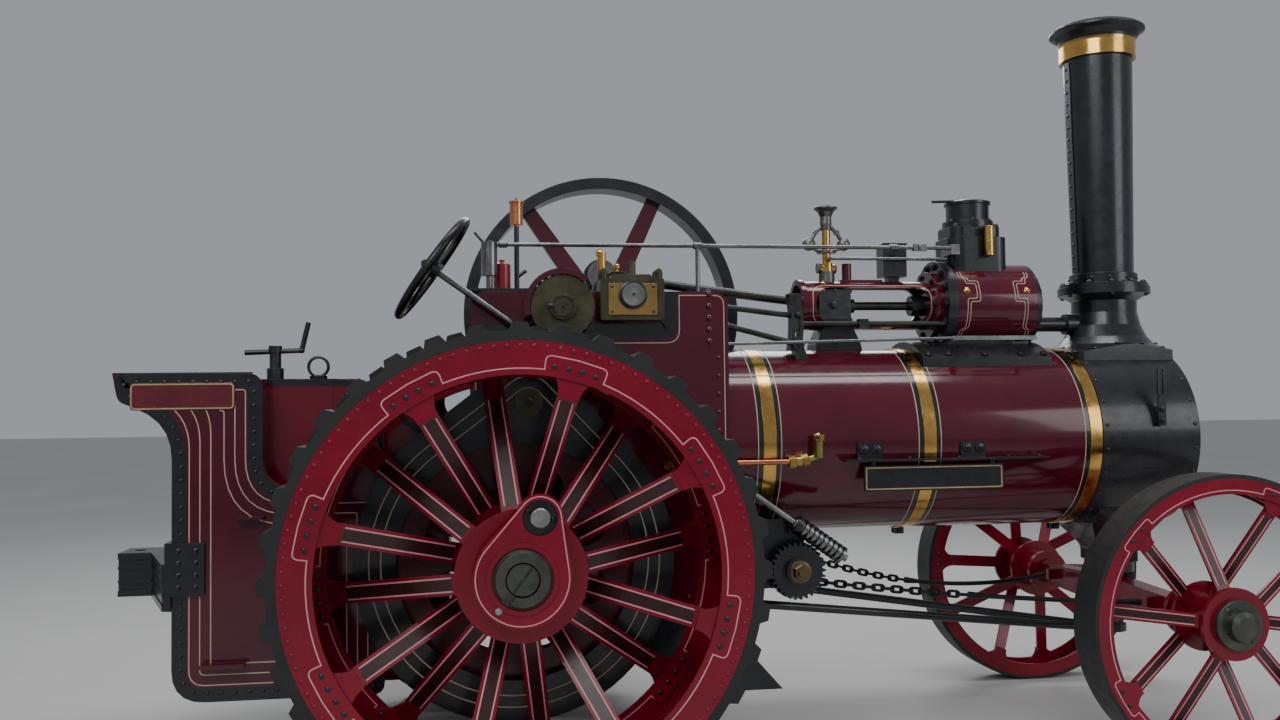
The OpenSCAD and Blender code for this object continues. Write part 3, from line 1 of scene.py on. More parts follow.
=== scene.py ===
import bmesh
import bpy
import numpy as np
from mathutils import Matrix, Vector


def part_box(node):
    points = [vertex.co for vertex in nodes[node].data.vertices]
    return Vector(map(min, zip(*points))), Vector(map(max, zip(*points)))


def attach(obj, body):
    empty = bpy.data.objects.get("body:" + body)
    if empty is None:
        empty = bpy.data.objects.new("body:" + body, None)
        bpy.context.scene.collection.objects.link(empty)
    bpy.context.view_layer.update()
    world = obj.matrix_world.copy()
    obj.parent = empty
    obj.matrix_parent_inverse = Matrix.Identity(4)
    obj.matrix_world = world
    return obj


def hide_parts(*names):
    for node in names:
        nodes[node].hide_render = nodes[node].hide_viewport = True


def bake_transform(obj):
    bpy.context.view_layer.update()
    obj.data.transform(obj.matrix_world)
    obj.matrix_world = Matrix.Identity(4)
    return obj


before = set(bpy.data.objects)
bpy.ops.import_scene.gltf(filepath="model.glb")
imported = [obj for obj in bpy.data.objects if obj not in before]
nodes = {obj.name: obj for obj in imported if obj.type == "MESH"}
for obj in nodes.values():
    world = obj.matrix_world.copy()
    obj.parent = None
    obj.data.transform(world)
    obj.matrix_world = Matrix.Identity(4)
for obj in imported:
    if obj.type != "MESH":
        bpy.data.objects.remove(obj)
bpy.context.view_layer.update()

# The studio: the camera looks from where the photo was taken, on the engine's right, under plain soft
# light. The floor is pale board; large lamps and a pale sky give the paint its long reflections.
camera_place = (-1.0878, -5.1381, 1.4927)
camera_yaw, camera_pitch, camera_roll = -0.1488, 0.0367, -0.0122
focal_pixels, photo_width, sensor_width = 1163.8, 1280, 36.0


def turned(yaw, pitch, roll):
    """Camera axes: turned left by yaw, tipped up by pitch, then rolled about the line of sight."""
    right = np.array([np.cos(yaw), np.sin(yaw), 0])
    ahead = np.array([-np.sin(yaw), np.cos(yaw), 0])
    up = np.array([0, 0, 1.0])
    ahead, up = np.cos(pitch) * ahead + np.sin(pitch) * up, np.cos(pitch) * up - np.sin(pitch) * ahead
    right, up = np.cos(roll) * right + np.sin(roll) * up, np.cos(roll) * up - np.sin(roll) * right
    return right, up, -ahead


def unit(vectors):
    """Each vector divided by its length."""
    vectors = np.asarray(vectors, float)
    return vectors / np.maximum(np.linalg.norm(vectors, axis=-1, keepdims=True), 1e-12)


def standing(axes, place):
    """A matrix whose columns are three axes and a place."""
    return Matrix(
        [[*(float(axis[row]) for axis in axes), float(place[row])] for row in range(3)] + [[0, 0, 0, 1]])


view = bpy.data.cameras.new("photo_view")
view.lens = focal_pixels / photo_width * sensor_width
view.sensor_width = sensor_width
camera = bpy.data.objects.new("photo_camera", view)
camera.matrix_world = standing(turned(camera_yaw, camera_pitch, camera_roll), camera_place)
bpy.context.scene.collection.objects.link(camera)
bpy.context.scene.camera = camera

# name, place, aim, width, height, watts
for name, place, aim, width, height, power in (
        ("key_lamp", (-3.5, -6.5, 6.5), (0, 0, 1.0), 5.0, 3.0, 270),
        ("fill_lamp", (5.5, -5.0, 3.4), (0.6, 0, 1.2), 3.0, 3.0, 80),
        ("rim_lamp", (1.0, 6.5, 6.0), (0, 0, 1.4), 6.0, 3.0, 230),
        ("top_lamp", (0.3, -0.8, 7.2), (0.3, 0, 1.0), 6.0, 1.6, 220)):
    lamp = bpy.data.lights.new(name, "AREA")
    lamp.shape, lamp.size, lamp.size_y, lamp.energy = "RECTANGLE", width, height, power
    holder = bpy.data.objects.new(name, lamp)
    away = unit(np.subtract(place, aim))
    across = unit(np.cross((0, 0, 1.0), away))
    holder.matrix_world = standing((across, np.cross(away, across), away), place)
    bpy.context.scene.collection.objects.link(holder)

sky = bpy.data.worlds.new("pale_sky")
sky.use_nodes = True
sky.node_tree.nodes["Background"].inputs["Color"].default_value = (0.78, 0.83, 0.90, 1)
sky.node_tree.nodes["Background"].inputs["Strength"].default_value = 0.42
bpy.context.scene.world = sky


def feed(tree, socket, value):
    """Links a socket to an output or sets its value, where there is one; a colour gets alpha 1."""
    if isinstance(value, bpy.types.NodeSocket):
        tree.links.new(value, socket)
    elif value is not None:
        socket.default_value = (*value, 1) if socket.type == "RGBA" else value


def worked(tree, kind, operation, *values):
    """What a Math node, or with kind Vector a Vector Math node, makes of its inputs."""
    node = tree.nodes.new(f"ShaderNode{kind}Math")
    node.operation = operation
    for socket, value in zip(node.inputs, values):
        feed(tree, socket, value)
    return node.outputs["Value" if operation in ("LENGTH", "DOT_PRODUCT") else 0]


def finish(
        name, tone, zones=(), scale=3.0, grain=400.0, bump=0.0001, dust=0.0, wear=0.0,
        worn=(0.10, 0.10, 0.10), edge=0.0015, coat=0.0, gloss=0.5):
    """A finish from noise. tone is (light colour, dark colour, smoothest, roughest, metal): one noise
    mottles the two colours and another the gloss. zones are (mask, tone) pairs laid over it in turn. Dust
    settles on faces that look up; wear shows the worn colour where the bevelled normal turns away."""
    made = bpy.data.materials.new(name)
    made.use_nodes = True
    tree = made.node_tree
    new, link = tree.nodes.new, tree.links.new
    surface = tree.nodes["Principled BSDF"]
    place = new("ShaderNodeTexCoord").outputs["Object"]

    def noise(size, detail=5.0, roughness=0.6):
        node = new("ShaderNodeTexNoise")
        node.inputs["Scale"].default_value = size
        node.inputs["Detail"].default_value = detail
        node.inputs["Roughness"].default_value = roughness
        link(place, node.inputs["Vector"])
        return node.outputs["Fac"]

    def spread(source, low, high, to_low, to_high):
        node = new("ShaderNodeMapRange")
        for socket, value in zip(
                ("From Min", "From Max", "To Min", "To Max"), (low, high, to_low, to_high)):
            node.inputs[socket].default_value = value
        link(source, node.inputs["Value"])
        return node.outputs["Result"]

    def blend(factor, first, second, kind="RGBA"):
        node = new("ShaderNodeMix")
        node.data_type = kind
        link(factor, node.inputs["Factor"])
        start, result = (6, 2) if kind == "RGBA" else (2, 0)
        feed(tree, node.inputs[start], first)
        feed(tree, node.inputs[start + 1], second)
        return node.outputs[result]

    mottle = spread(noise(scale), 0.35, 0.65, 0, 1)
    cloud = noise(scale * 4)
    light, dark, smooth, rough, metal = tone
    colour = blend(mottle, dark, light)
    shine = spread(cloud, 0.3, 0.7, smooth, rough)
    for mask, (light, dark, smooth, rough, zone_metal) in zones:
        inside = mask(tree, place)
        colour = blend(inside, colour, blend(mottle, dark, light))
        shine = blend(inside, shine, spread(cloud, 0.3, 0.7, smooth, rough), "FLOAT")
        if zone_metal != metal or isinstance(metal, bpy.types.NodeSocket):
            metal = blend(inside, metal, zone_metal, "FLOAT")
    relief = new("ShaderNodeBump")
    relief.inputs["Distance"].default_value = bump
    relief.inputs["Strength"].default_value = 0.6
    link(noise(grain, 3.0), relief.inputs["Height"])
    facing = new("ShaderNodeNewGeometry").outputs["Normal"]
    if edge:
        rounding = new("ShaderNodeBevel")
        rounding.samples = 4
        rounding.inputs["Radius"].default_value = edge
        link(rounding.outputs["Normal"], relief.inputs["Normal"])
        if wear:
            agree = worked(tree, "Vector", "DOT_PRODUCT", rounding.outputs["Normal"], facing)
            rubbed = worked(tree, "", "MULTIPLY", spread(agree, 0.80, 0.985, wear, 0), spread(
                noise(scale * 9), 0.4, 0.6, 0, 1))
            colour = blend(rubbed, colour, worn)
    if dust:
        split = new("ShaderNodeSeparateXYZ")
        link(facing, split.inputs[0])
        settled = worked(tree, "", "MULTIPLY", spread(split.outputs["Z"], 0.25, 1.0, 0, dust), spread(
            noise(scale * 2.5, 8.0, 0.7), 0.35, 0.75, 0.2, 1.0))
        colour = blend(settled, colour, (0.26, 0.23, 0.19))
        shine = blend(settled, shine, 0.85, "FLOAT")
    link(colour, surface.inputs["Base Color"])
    link(shine, surface.inputs["Roughness"])
    feed(tree, surface.inputs["Metallic"], metal)
    surface.inputs["Coat Weight"].default_value = coat
    surface.inputs["Coat Roughness"].default_value = 0.06
    surface.inputs["Specular IOR Level"].default_value = gloss
    link(relief.outputs["Normal"], surface.inputs["Normal"])
    return made


floor_size = 60.0
floor_mesh = bpy.data.meshes.new("floor")
floor_mesh.from_pydata(
    [(x * floor_size, y * floor_size, -0.001) for x, y in ((-1, -1), (1, -1), (1, 1), (-1, 1))], [],
    [(0, 1, 2, 3)])
floor_mesh.materials.append(finish(
    "pale_board", ((0.58, 0.57, 0.55), (0.54, 0.53, 0.51), 0.6, 0.75, 0.0), edge=0, scale=0.6, grain=60))
floor = bpy.data.objects.new("floor", floor_mesh)
bpy.context.scene.collection.objects.link(floor)

# Boiler barrel: steel plate in its lagging sheet, coach-painted deep maroon. Three brass bands hold the
# sheet; each lies between two black stripes edged with a cream line, and is drawn up by a clamp bolt
# underneath.
maroon_tone = ((0.085, 0.0028, 0.0150), (0.064, 0.0020, 0.0110), 0.10, 0.18, 0.0)
black_tone = ((0.0090, 0.0110, 0.0155), (0.0055, 0.0065, 0.0095), 0.22, 0.38, 0.0)
brass_tone = ((0.72, 0.45, 0.13), (0.55, 0.31, 0.08), 0.10, 0.26, 1.0)
maroon = finish("maroon_coach_paint", maroon_tone, coat=0.30, gloss=0.4, dust=0.04, bump=0.00006)
black = finish(
    "black_paint", black_tone, coat=0.15, dust=0.08, wear=0.25, worn=(0.06, 0.06, 0.06), scale=5.0)
brass = finish("polished_brass", brass_tone, bump=0.00004, scale=7.0)
cream = finish("cream_lining", ((0.56, 0.42, 0.31), (0.46, 0.33, 0.24), 0.32, 0.45, 0.0), edge=0, scale=9.0)
lining_black = finish(
    "lining_black", ((0.006, 0.006, 0.008), (0.004, 0.004, 0.005), 0.16, 0.26, 0.0), edge=0, coat=0.5)


def dress(material, *names):
    """Gives CAD nodes a finish."""
    for name in names:
        nodes[name].data.materials.clear()
        nodes[name].data.materials.append(material)


def middle(node):
    """The middle of a CAD node's box and half its size."""
    low, high = (np.array(corner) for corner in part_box(node))
    return (low + high) / 2, (high - low) / 2


axle_x = middle("rear_axle")[0][0]


def at(x, y, z):
    """Places given ahead of the rear axle, to the left of the middle and above the ground."""
    x, y, z = np.broadcast_arrays(np.asarray(x, float) + axle_x, np.asarray(y, float), np.asarray(z, float))
    return np.stack([x, y, z], -1)


def lattice(points, around=False, along=False):
    """Faces over a grid of points, each cell's four corners in turn; around closes the rows, along the
    columns."""
    points = np.asarray(points, float)
    rows, columns = points.shape[:2]
    row = np.arange(rows if along else rows - 1)[:, None]
    column = np.arange(columns if around else columns - 1)[None, :]
    below, beside = (row + 1) % rows, (column + 1) % columns
    corners = (
        row * columns + column, below * columns + column, below * columns + beside, row * columns + beside)
    return points.reshape(-1, 3), np.stack(np.broadcast_arrays(*corners), -1).reshape(-1, 4)


def lathe(profile, base, axis, steps=32, closed=False):
    """A profile of (distance, radius) turned about an axis: base + axis * distance + radius * (cos, sin)
    across it."""
    profile, axis = np.asarray(profile, float), unit(axis)
    across = unit(np.cross(axis, (0, 0, 1.0) if abs(axis[2]) < 0.9 else (1.0, 0, 0)))
    over = np.cross(axis, across)
    turn = np.arange(steps) / steps * 2 * np.pi
    ring = np.cos(turn)[:, None] * across + np.sin(turn)[:, None] * over
    points = np.asarray(base, float) + profile[:, :1, None] * axis + profile[:, 1:, None] * ring
    return lattice(points, around=True, along=closed)


def hoop(x, radius, width, height, centre, axis=(1.0, 0, 0), steps=160):
    """A flat ring round an axis: width along it, standing height above the radius."""
    profile = [
        (x - width / 2, radius - 0.001), (x - width / 2, radius + height), (x + width / 2, radius + height),
        (x + width / 2, radius - 0.001)]
    return lathe(profile, centre, axis, steps, closed=True)


def nuts(width, places, up):
    """Hexagons with cut corners, each with its stud's end standing out of it."""
    corner = width / np.sqrt(3)
    height = 0.45 * width
    profile = [
        (-0.001, 0), (-0.001, corner), (0.85 * height, corner), (height, 0.88 * corner),
        (height, 0.55 * corner), (1.4 * height, 0.50 * corner), (1.4 * height, 0)]
    return copies(lathe(profile, (0, 0, 0), (0, 0, 1), 6), places, up)


def copies(shape, places, up, ahead=None):
    """Copies of a shape, its Z along up at each place and its X along ahead, or level where none is
    given."""
    points, quads = shape
    places = np.atleast_2d(places)
    up = unit(np.broadcast_to(np.asarray(up, float), places.shape))
    if ahead is None:
        level = np.where(np.abs(up[:, 2:]) > 0.9, (0, 1.0, 0), (0, 0, 1.0))
        ahead = np.cross(level, up)
    ahead = unit(np.broadcast_to(np.asarray(ahead, float), places.shape))
    axes = np.stack([ahead, np.cross(up, ahead), up], 1)
    moved = places[:, None] + np.einsum("pk,nkc->npc", points, axes)
    shift = np.arange(len(places))[:, None, None] * len(points)
    return moved.reshape(-1, 3), (quads[None] + shift).reshape(-1, 4)


def block(low, high, cut=0.002):
    """A box with its edges cut: four rectangles one above the other, the first and last drawn in, and
    closed ends."""
    low, high = np.asarray(low, float), np.asarray(high, float)
    centre = (low + high) / 2
    rows = []
    for z, drawn in (
            (low[2], (high - low) / 2), (low[2], cut), (low[2] + cut, 0), (high[2] - cut, 0),
            (high[2], cut), (high[2], (high - low) / 2)):
        half = np.maximum((high - low) / 2 - drawn, 0)
        rows.append([(centre[0] + i * half[0], centre[1] + j * half[1], z)
            for i, j in ((-1, -1), (1, -1), (1, 1), (-1, 1))])
    return lattice(rows, around=True)


def piece(name, parts, material, body="engine"):
    """One mesh from (points, faces) pairs: doubles merged, faces turned outwards, edges over 35 degrees
    kept."""
    starts = np.cumsum([0] + [len(points) for points, _ in parts[:-1]])
    mesh = bpy.data.meshes.new(name)
    mesh.from_pydata(
        np.concatenate([points for points, _ in parts]).tolist(), [],
        np.concatenate([faces + start for (_, faces), start in zip(parts, starts)]).tolist())
    shell = bmesh.new()
    shell.from_mesh(mesh)
    bmesh.ops.remove_doubles(shell, verts=shell.verts, dist=1e-5)
    bmesh.ops.recalc_face_normals(shell, faces=shell.faces)
    shell.to_mesh(mesh)
    shell.free()
    mesh.shade_smooth()
    mesh.set_sharp_from_angle(angle=np.radians(35))
    mesh.materials.append(material)
    made = bpy.data.objects.new(name, mesh)
    bpy.context.scene.collection.objects.link(made)
    if body:
        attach(made, body)
    return made


dress(maroon, "boiler_barrel")
dress(brass, "boiler_bands")
barrel_middle, barrel_half = middle("boiler_barrel")
boiler_z, boiler_r = barrel_middle[2], barrel_half[2]
band_low, band_high = (corner[0] - axle_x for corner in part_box("boiler_bands"))
band_width, stripe_width, line_width = 0.055, 0.020, 0.004
band_places = (band_low + band_width / 2, 1.767, band_high - band_width / 2)
stripe_sides = [(x, side) for x in band_places for side in (-1, 1) if (x, side) != (band_places[2], 1)]
axis_foot = at(0, 0, boiler_z)
piece(
    "band_stripes",
    [hoop(x + side * (band_width + stripe_width) / 2, boiler_r, stripe_width, 0.0006, axis_foot)
     for x, side in stripe_sides],
    lining_black)
piece(
    "band_lines",
    [hoop(
         x + side * (band_width / 2 + stripe_width + line_width / 2), boiler_r, line_width, 0.0008,
         axis_foot)
     for x, side in stripe_sides],
    cream)
clamps = []
for x in band_places:
    foot = at(x, 0, boiler_z - boiler_r)
    for side in (-1, 1):
        clamps.append(block(
            foot + (-0.022, side * 0.016 - 0.005, -0.032), foot + (0.022, side * 0.016 + 0.005, 0.004)))
        clamps.append(nuts(0.019, foot + (0, side * 0.021, -0.018), (0, side, 0)))
    clamps.append(
        lathe([(-0.03, 0), (-0.03, 0.006), (0.03, 0.006), (0.03, 0)], foot + (0, 0, -0.018), (0, 1, 0), 10))
piece("band_clamps", clamps, black)

# Smokebox: rolled black plate with a flanged front ring, riveted round both edges; the dished door closes
# on it. A slotted bracket for hanging gear is bolted upright on its right side.
dress(black, "smokebox", "smokebox_door")
smoke_r = middle("smokebox")[1][2]
smoke_low, smoke_high = (corner[0] - axle_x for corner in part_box("smokebox"))
hinge_reach = 0.038
smoke_high -= hinge_reach
rivet_turns = np.arange(24) / 24 * 2 * np.pi + 0.13


def round_x(turn, side=1):
    """Ways out from an axis that runs ahead: (0, side * cos, sin) of each turn."""
    return np.stack([0 * turn, side * np.cos(turn), np.sin(turn)], -1)


def rivets(radius, places, up, sides=8):
    """Round heads: each a low dome of four rings on a short shank that sinks 1 mm."""
    height = 0.6 * radius
    profile = [
        (-0.001, 0), (-0.001, radius), (0.25 * height, radius), (0.65 * height, 0.8 * radius),
        (0.93 * height, 0.45 * radius), (height, 0)]
    return copies(lathe(profile, (0, 0, 0), (0, 0, 1), sides), places, up)


ring_out = round_x(rivet_turns)
door_out = round_x(np.arange(20) / 20 * 2 * np.pi)
heads = [
    rivets(0.0095, at(x, 0, boiler_z) + smoke_r * ring_out, ring_out)
    for x in (smoke_low + 0.020, smoke_high - 0.022)]
heads.append(rivets(0.0085, at(smoke_high, 0, boiler_z) + 0.380 * door_out, (1, 0, 0)))
piece("smokebox_rivets", heads, black)
strap_rivets = [
    rivets(0.008, at(smoke_high + 0.0305, (0.10, 0.17, 0.24), boiler_z + z), (1, 0, 0))
    for z in (-0.088, 0.088)]
piece("smokebox_door_trim", strap_rivets, black, "smokebox_door")
piece("smokebox_front_ring", [hoop(smoke_high + 0.004, 0.346, 0.010, 0.006, axis_foot, steps=96)], black)


def sideways(path, normals, closed):
    """The way across a path on a surface, longer at corners so that a band laid along it keeps its
    width."""
    ahead = unit(np.roll(path, -1, 0) - path)
    behind = np.roll(ahead, 1, 0)
    if not closed:
        ahead[-1] = behind[-1]
        behind[0] = ahead[0]
    before, after = unit(np.cross(normals, behind)), unit(np.cross(normals, ahead))
    return (before + after) / (1 + np.sum(before * after, -1, keepdims=True))


def strip(path, normals, width, height=0.0007, closed=False, sunk=0.001):
    """A flat bar along a path on a surface: width across it, height above it and sunk below, with closed
    ends."""
    path = np.asarray(path, float)
    normals = unit(np.broadcast_to(np.asarray(normals, float), path.shape))
    side = sideways(path, normals, closed) * width / 2
    rings = np.stack(
        [path + s * side + h * normals for s, h in ((-1, -sunk), (1, -sunk), (1, height), (-1, height))], 1)
    if not closed:
        ends = np.repeat(rings[[0, -1]].mean(1)[:, None], 4, 1)
        rings = np.concatenate([ends[:1], rings, ends[1:]])
    return lattice(rings, around=True, along=closed)


def rounded(corners, radii, closed=True, steps=6):
    """A path whose corners are rounded by (1 - t)^2 * start + 2t(1 - t) * corner + t^2 * end, each cut
    back by its radius."""
    corners = np.asarray(corners, float)
    radii = np.broadcast_to(radii, len(corners))
    t = np.linspace(0, 1, steps)[:, None]
    path = []
    for i, (corner, radius) in enumerate(zip(corners, radii)):
        if radius == 0 or (not closed and i in (0, len(corners) - 1)):
            path.append(corner[None])
            continue
        start = corner + unit(corners[i - 1] - corner) * radius
        end = corner + unit(corners[(i + 1) % len(corners)] - corner) * radius
        path.append((1 - t) ** 2 * start + 2 * t * (1 - t) * corner + t ** 2 * end)
    return np.concatenate(path)


slot_loop = rounded(
    [(x, -0.428, z) for x, z in ((2.813, 1.495), (2.839, 1.495), (2.839, 1.618), (2.813, 1.618))], 0.0125)
bracket = [
    strip(at(*slot_loop.T), (0, -1, 0), 0.010, 0.005, closed=True, sunk=0.005),
    block(at(2.808, -0.433, 1.365), at(2.844, -0.423, 1.492)),
    block(at(2.810, -0.425, 1.372), at(2.842, -0.402, 1.452)),
    nuts(0.022, at(2.826, -0.433, (1.387, 1.437)), (0, -1, 0))]
piece("smokebox_bracket", bracket, black)

# Chimney: a rolled stack with a riveted seam down its back, on a cast base studded to the smokebox. Its
# cap is spun brass below, with a black flared lip.
stack_low, stack_high = (corner[2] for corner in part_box("chimney_stack"))
stack_x = middle("chimney_stack")[0][0] - axle_x
cap_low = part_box("chimney_cap")[0][2]
lip_z = cap_low + 0.082


def in_box(low, high):
    """A zone of a finish between two corners: where |place - centre| / half size stays under 1 on every
    axis."""
    low, high = np.asarray(low, float), np.asarray(high, float)

    def mask(tree, place):
        for operation, amount in (
                ("SUBTRACT", (low + high) / 2), ("ABSOLUTE", None), ("DIVIDE", (high - low) / 2)):
            place = worked(tree, "Vector", operation, place, amount)
        split = tree.nodes.new("ShaderNodeSeparateXYZ")
        tree.links.new(place, split.inputs[0])
        across = worked(tree, "", "MAXIMUM", split.outputs["X"], split.outputs["Y"])
        return worked(tree, "", "LESS_THAN", worked(tree, "", "MAXIMUM", across, split.outputs["Z"]), 1.0)
    return mask


everywhere = 9.0
cap_finish = finish(
    "chimney_cap_brass", brass_tone,
    [(in_box((-everywhere, -everywhere, lip_z), (everywhere,) * 3), black_tone)], bump=0.00004, scale=7.0)
dress(cap_finish, "chimney_cap")
dress(black, "chimney_base", "chimney_stack")
seam_low, seam_high = stack_low + 0.075, stack_high - 0.012
foot_r, head_r = 0.137, 0.156


def stack_radius(z):
    """Outer radius of the stack, which widens evenly upwards."""
    return np.interp(z, (stack_low + 0.066, stack_high), (foot_r, head_r))


seam_z = np.array([seam_low, seam_high])
seam = [strip(at(stack_x - stack_radius(seam_z), 0, seam_z), (-1, 0, 0), 0.046, 0.003)]
rivet_z = np.arange(seam_low + 0.02, seam_high, 0.056)
seam.append(rivets(0.008, at(stack_x - stack_radius(rivet_z) - 0.003, 0.008, rivet_z), (-1, 0, 0)))
turns = np.arange(12) / 12 * 2 * np.pi + 0.2
out = np.stack([np.cos(turns), np.sin(turns), 0 * turns], -1)
seam.append(rivets(0.009, at(stack_x, 0, stack_low + 0.040) + 0.153 * out, out))
seam.append(nuts(0.024, at(stack_x, 0, stack_low + 0.0135) + 0.183 * out, (0, 0, 1)))
seam.append(nuts(0.020, at(stack_x, 0, stack_low - 0.0353) + 0.195 * out[::2], (0, 0, -1)))
flange = np.array(
    [(x, side * 0.210) for side in (-1, 1) for x in (-0.27, -0.17, -0.06, 0.06, 0.16)]
    + [(x, y) for x in (-0.300, 0.182) for y in (-0.12, 0.12)])
flange_z = np.interp(
    np.hypot(*flange.T), (0.160, 0.185, 0.215, 0.268, 0.330), (1.830, 1.775, 1.740, 1.716, 1.700))
seam.append(rivets(0.013, at(stack_x + flange[:, 0], flange[:, 1], flange_z - 0.0005), (0, 0, 1)))
piece("chimney_rivets", seam, black)

# Firebox and hornplates: two maroon plates carry the crankshaft and the gear shafts above the firebox.
# Round studs stand in a column at their front, and cream lines follow the painted panel and the black
# recess at the bearing.
dress(black, "firebox", "firehole_door", "ashpan")
dress(maroon, "hornplate_right", "hornplate_left")
horn_out = abs(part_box("hornplate_right")[0][1])
horn_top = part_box("hornplate_right")[1][2]
recess_z = 1.788
lines, panels, studs = [], [], []
for side in (-1, 1):
    y = side * horn_out
    panel = rounded(
        [(0.684, horn_top - 0.016), (0.872, horn_top - 0.016), (0.872, 0.662), (0.205, 0.662),
         (-0.098, 0.722), (-0.150, 1.215), (-0.150, 1.738), (0.684, 1.738)],
        (0.0, 0.040, 0.02, 0.06, 0.06, 0.08, 0.02, 0.055))
    lines.append(strip(at(panel[:, 0], y, panel[:, 1]), (0, side, 0), 0.004, closed=True))
    low_bar = rounded([(-0.140, recess_z), (0.6065, recess_z)], 0, closed=False)
    panels.append(strip(at(low_bar[:, 0], y, low_bar[:, 1]), (0, side, 0), 0.061, 0.0012))
    corner_bar = rounded(
        [(0.6415, horn_top - 0.001), (0.6415, recess_z), (0.560, recess_z)], (0, 0.030, 0), closed=False)
    panels.append(strip(at(corner_bar[:, 0], y, corner_bar[:, 1]), (0, side, 0), 0.068, 0.0013))
    studs.append(rivets(0.0135, at(0.811, y, (1.938, 1.889, 1.840, 1.791, 1.742)), (0, side, 0), 12))
    studs.append(rivets(0.009, at(0.848, y, np.arange(0.70, 1.68, 0.075)), (0, side, 0)))
    studs.append(rivets(0.009, at(np.arange(-0.06, 0.80, 0.085), y, 0.700), (0, side, 0)))
piece("hornplate_lines", lines, cream)
piece("hornplate_recess", panels, lining_black)
piece("hornplate_studs", studs, maroon)

# Backhead: the fittings on the firebox's rear plate are brass, with a water gauge and a round pressure
# gauge whose cream face has plain marks and a black hand.
dress(brass, "backhead_fittings")
back_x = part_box("firebox")[0][0] - axle_x
dial = at(back_x - 0.0403, 0.130, 1.630)
piece(
    "gauge_rim",
    [lathe(
         [(0, 0.046), (0.006, 0.050), (0.008, 0.058), (0.004, 0.063), (-0.004, 0.063), (-0.004, 0.046)],
         dial, (-1, 0, 0), 48, closed=True)],
    brass)
gauge_cream = finish(
    "gauge_face", ((0.62, 0.58, 0.48), (0.56, 0.52, 0.42), 0.3, 0.4, 0.0), edge=0, scale=20)
piece(
    "gauge_face", [lathe([(-0.002, 0), (-0.002, 0.049), (0.001, 0.049), (0.001, 0)], dial, (-1, 0, 0), 48)],
    gauge_cream)
mark_turns = np.radians(np.linspace(-130, 130, 14))
marks = [
    strip(
        dial + np.outer((0.036, 0.044), (0, np.sin(turn), np.cos(turn))) - (0.001, 0, 0), (-1, 0, 0),
        0.0018, 0.0005)
    for turn in mark_turns]
hand = np.radians(-50)
marks.append(strip(
    dial + np.outer((-0.012, 0.036), (0, np.sin(hand), np.cos(hand))) - (0.0015, 0, 0), (-1, 0, 0), 0.003))
marks.append(rivets(0.005, dial - (0.0015, 0, 0), (-1, 0, 0)))
piece("gauge_marks", marks, lining_black)
backhead_nuts = at(
    back_x,
    *np.array(
        [(0.34 * np.cos(a), boiler_z + 0.34 * np.sin(a)) for a in np.radians(np.arange(20, 161, 20))]).T)
piece(
    "backhead_studs",
    [rivets(0.012, backhead_nuts, (-1, 0, 0)),
     rivets(
         0.012,
         at(back_x, np.array((-0.33, -0.24, 0.24, 0.33) * 4), np.repeat((0.74, 0.86, 0.98, 1.08), 4)),
         (-1, 0, 0))],
    black)

# Cylinder: a black casting on a saddle, clothed in maroon sheet with double cream lines that turn round a
# brass plug at each end. Its flange and covers are held by studs and nuts.
dress(maroon, "cylinder_lagging")
dress(black, "cylinder_block", "exhaust_pipe", "guide_bracket")
lag_low, lag_high = (corner[0] - axle_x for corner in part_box("cylinder_lagging"))
lag_r = middle("cylinder_lagging")[1][1]
motion_z = 1.925


def spaced(path, gap, closed=True):
    """Points at equal steps of about gap along a path, by its running length."""
    loop = np.concatenate([path, path[:1]]) if closed else np.asarray(path)
    run = np.concatenate([[0], np.cumsum(np.linalg.norm(np.diff(loop, axis=0), axis=1))])
    count = max(int(round(run[-1] / gap)), 1)
    stops = np.arange(count + (not closed)) * run[-1] / count
    return np.stack([np.interp(stops, run, loop[:, k]) for k in range(loop.shape[1])], -1)


def wrapped_line(x, run, radius, side, width, closed=False):
    """A line laid round the cylinder's axis: the run round it is turn * radius."""
    normals = round_x(run / radius, side)
    return strip(at(x, 0, motion_z) + radius * normals, normals, width, closed=closed)


plug_turn, line_step = np.radians(16.6), 0.024
outlines, plugs = [], []
for side in (-1, 1):
    for end, way in ((lag_low, 1), (lag_high, -1)):
        for depth, bulge, half in ((0.048, 0.094, 0.036), (0.062, 0.108, 0.050)):
            notch = plug_turn * lag_r
            flat = rounded(
                [(depth - line_step, 0.165), (depth - line_step, 0.134), (depth, 0.116),
                 (depth, notch + half), (bulge, notch + half), (bulge, notch - half), (depth, notch - half),
                 (depth, -0.116), (depth - line_step, -0.134), (depth - line_step, -0.165)],
                0.010, closed=False, steps=5)
            flat = spaced(flat, 0.006, closed=False)
            outlines.append(wrapped_line(end + way * flat[:, 0], flat[:, 1], lag_r, side, 0.0032))
        normal = round_x(plug_turn, side)
        place = at(end + way * 0.048, 0, motion_z) + lag_r * normal
        plugs.append(copies(
            lathe(
                [(-0.002, 0), (-0.002, 0.015), (0.003, 0.015), (0.005, 0.011), (0.011, 0.010),
                 (0.014, 0.006), (0.015, 0)],
                (0, 0, 0), (0, 0, 1), 20),
            place, normal))
piece("cylinder_lines", outlines, cream)
piece("cylinder_plugs", plugs, brass)
flange_turns = np.arange(14) / 14 * 2 * np.pi
flange_out = round_x(flange_turns)
cyl_low, cyl_high, dome_x = 1.955, 2.420, 2.140
corner_x, corner_y = np.array((-0.093, -0.093, 0.097, 0.097)), np.array((-0.083, 0.083, -0.083, 0.083))
saddle_y, saddle_r = 0.236, 0.440
saddle_x = np.repeat((1.835, 1.93, 2.10, 2.27, 2.38), 2)
saddle_z = boiler_z + np.sqrt(saddle_r ** 2 - saddle_y ** 2)
saddle_out = np.tile([(0, -saddle_y, 0.371), (0, saddle_y, 0.371)], (5, 1))
dome_turns = flange_turns[::2]
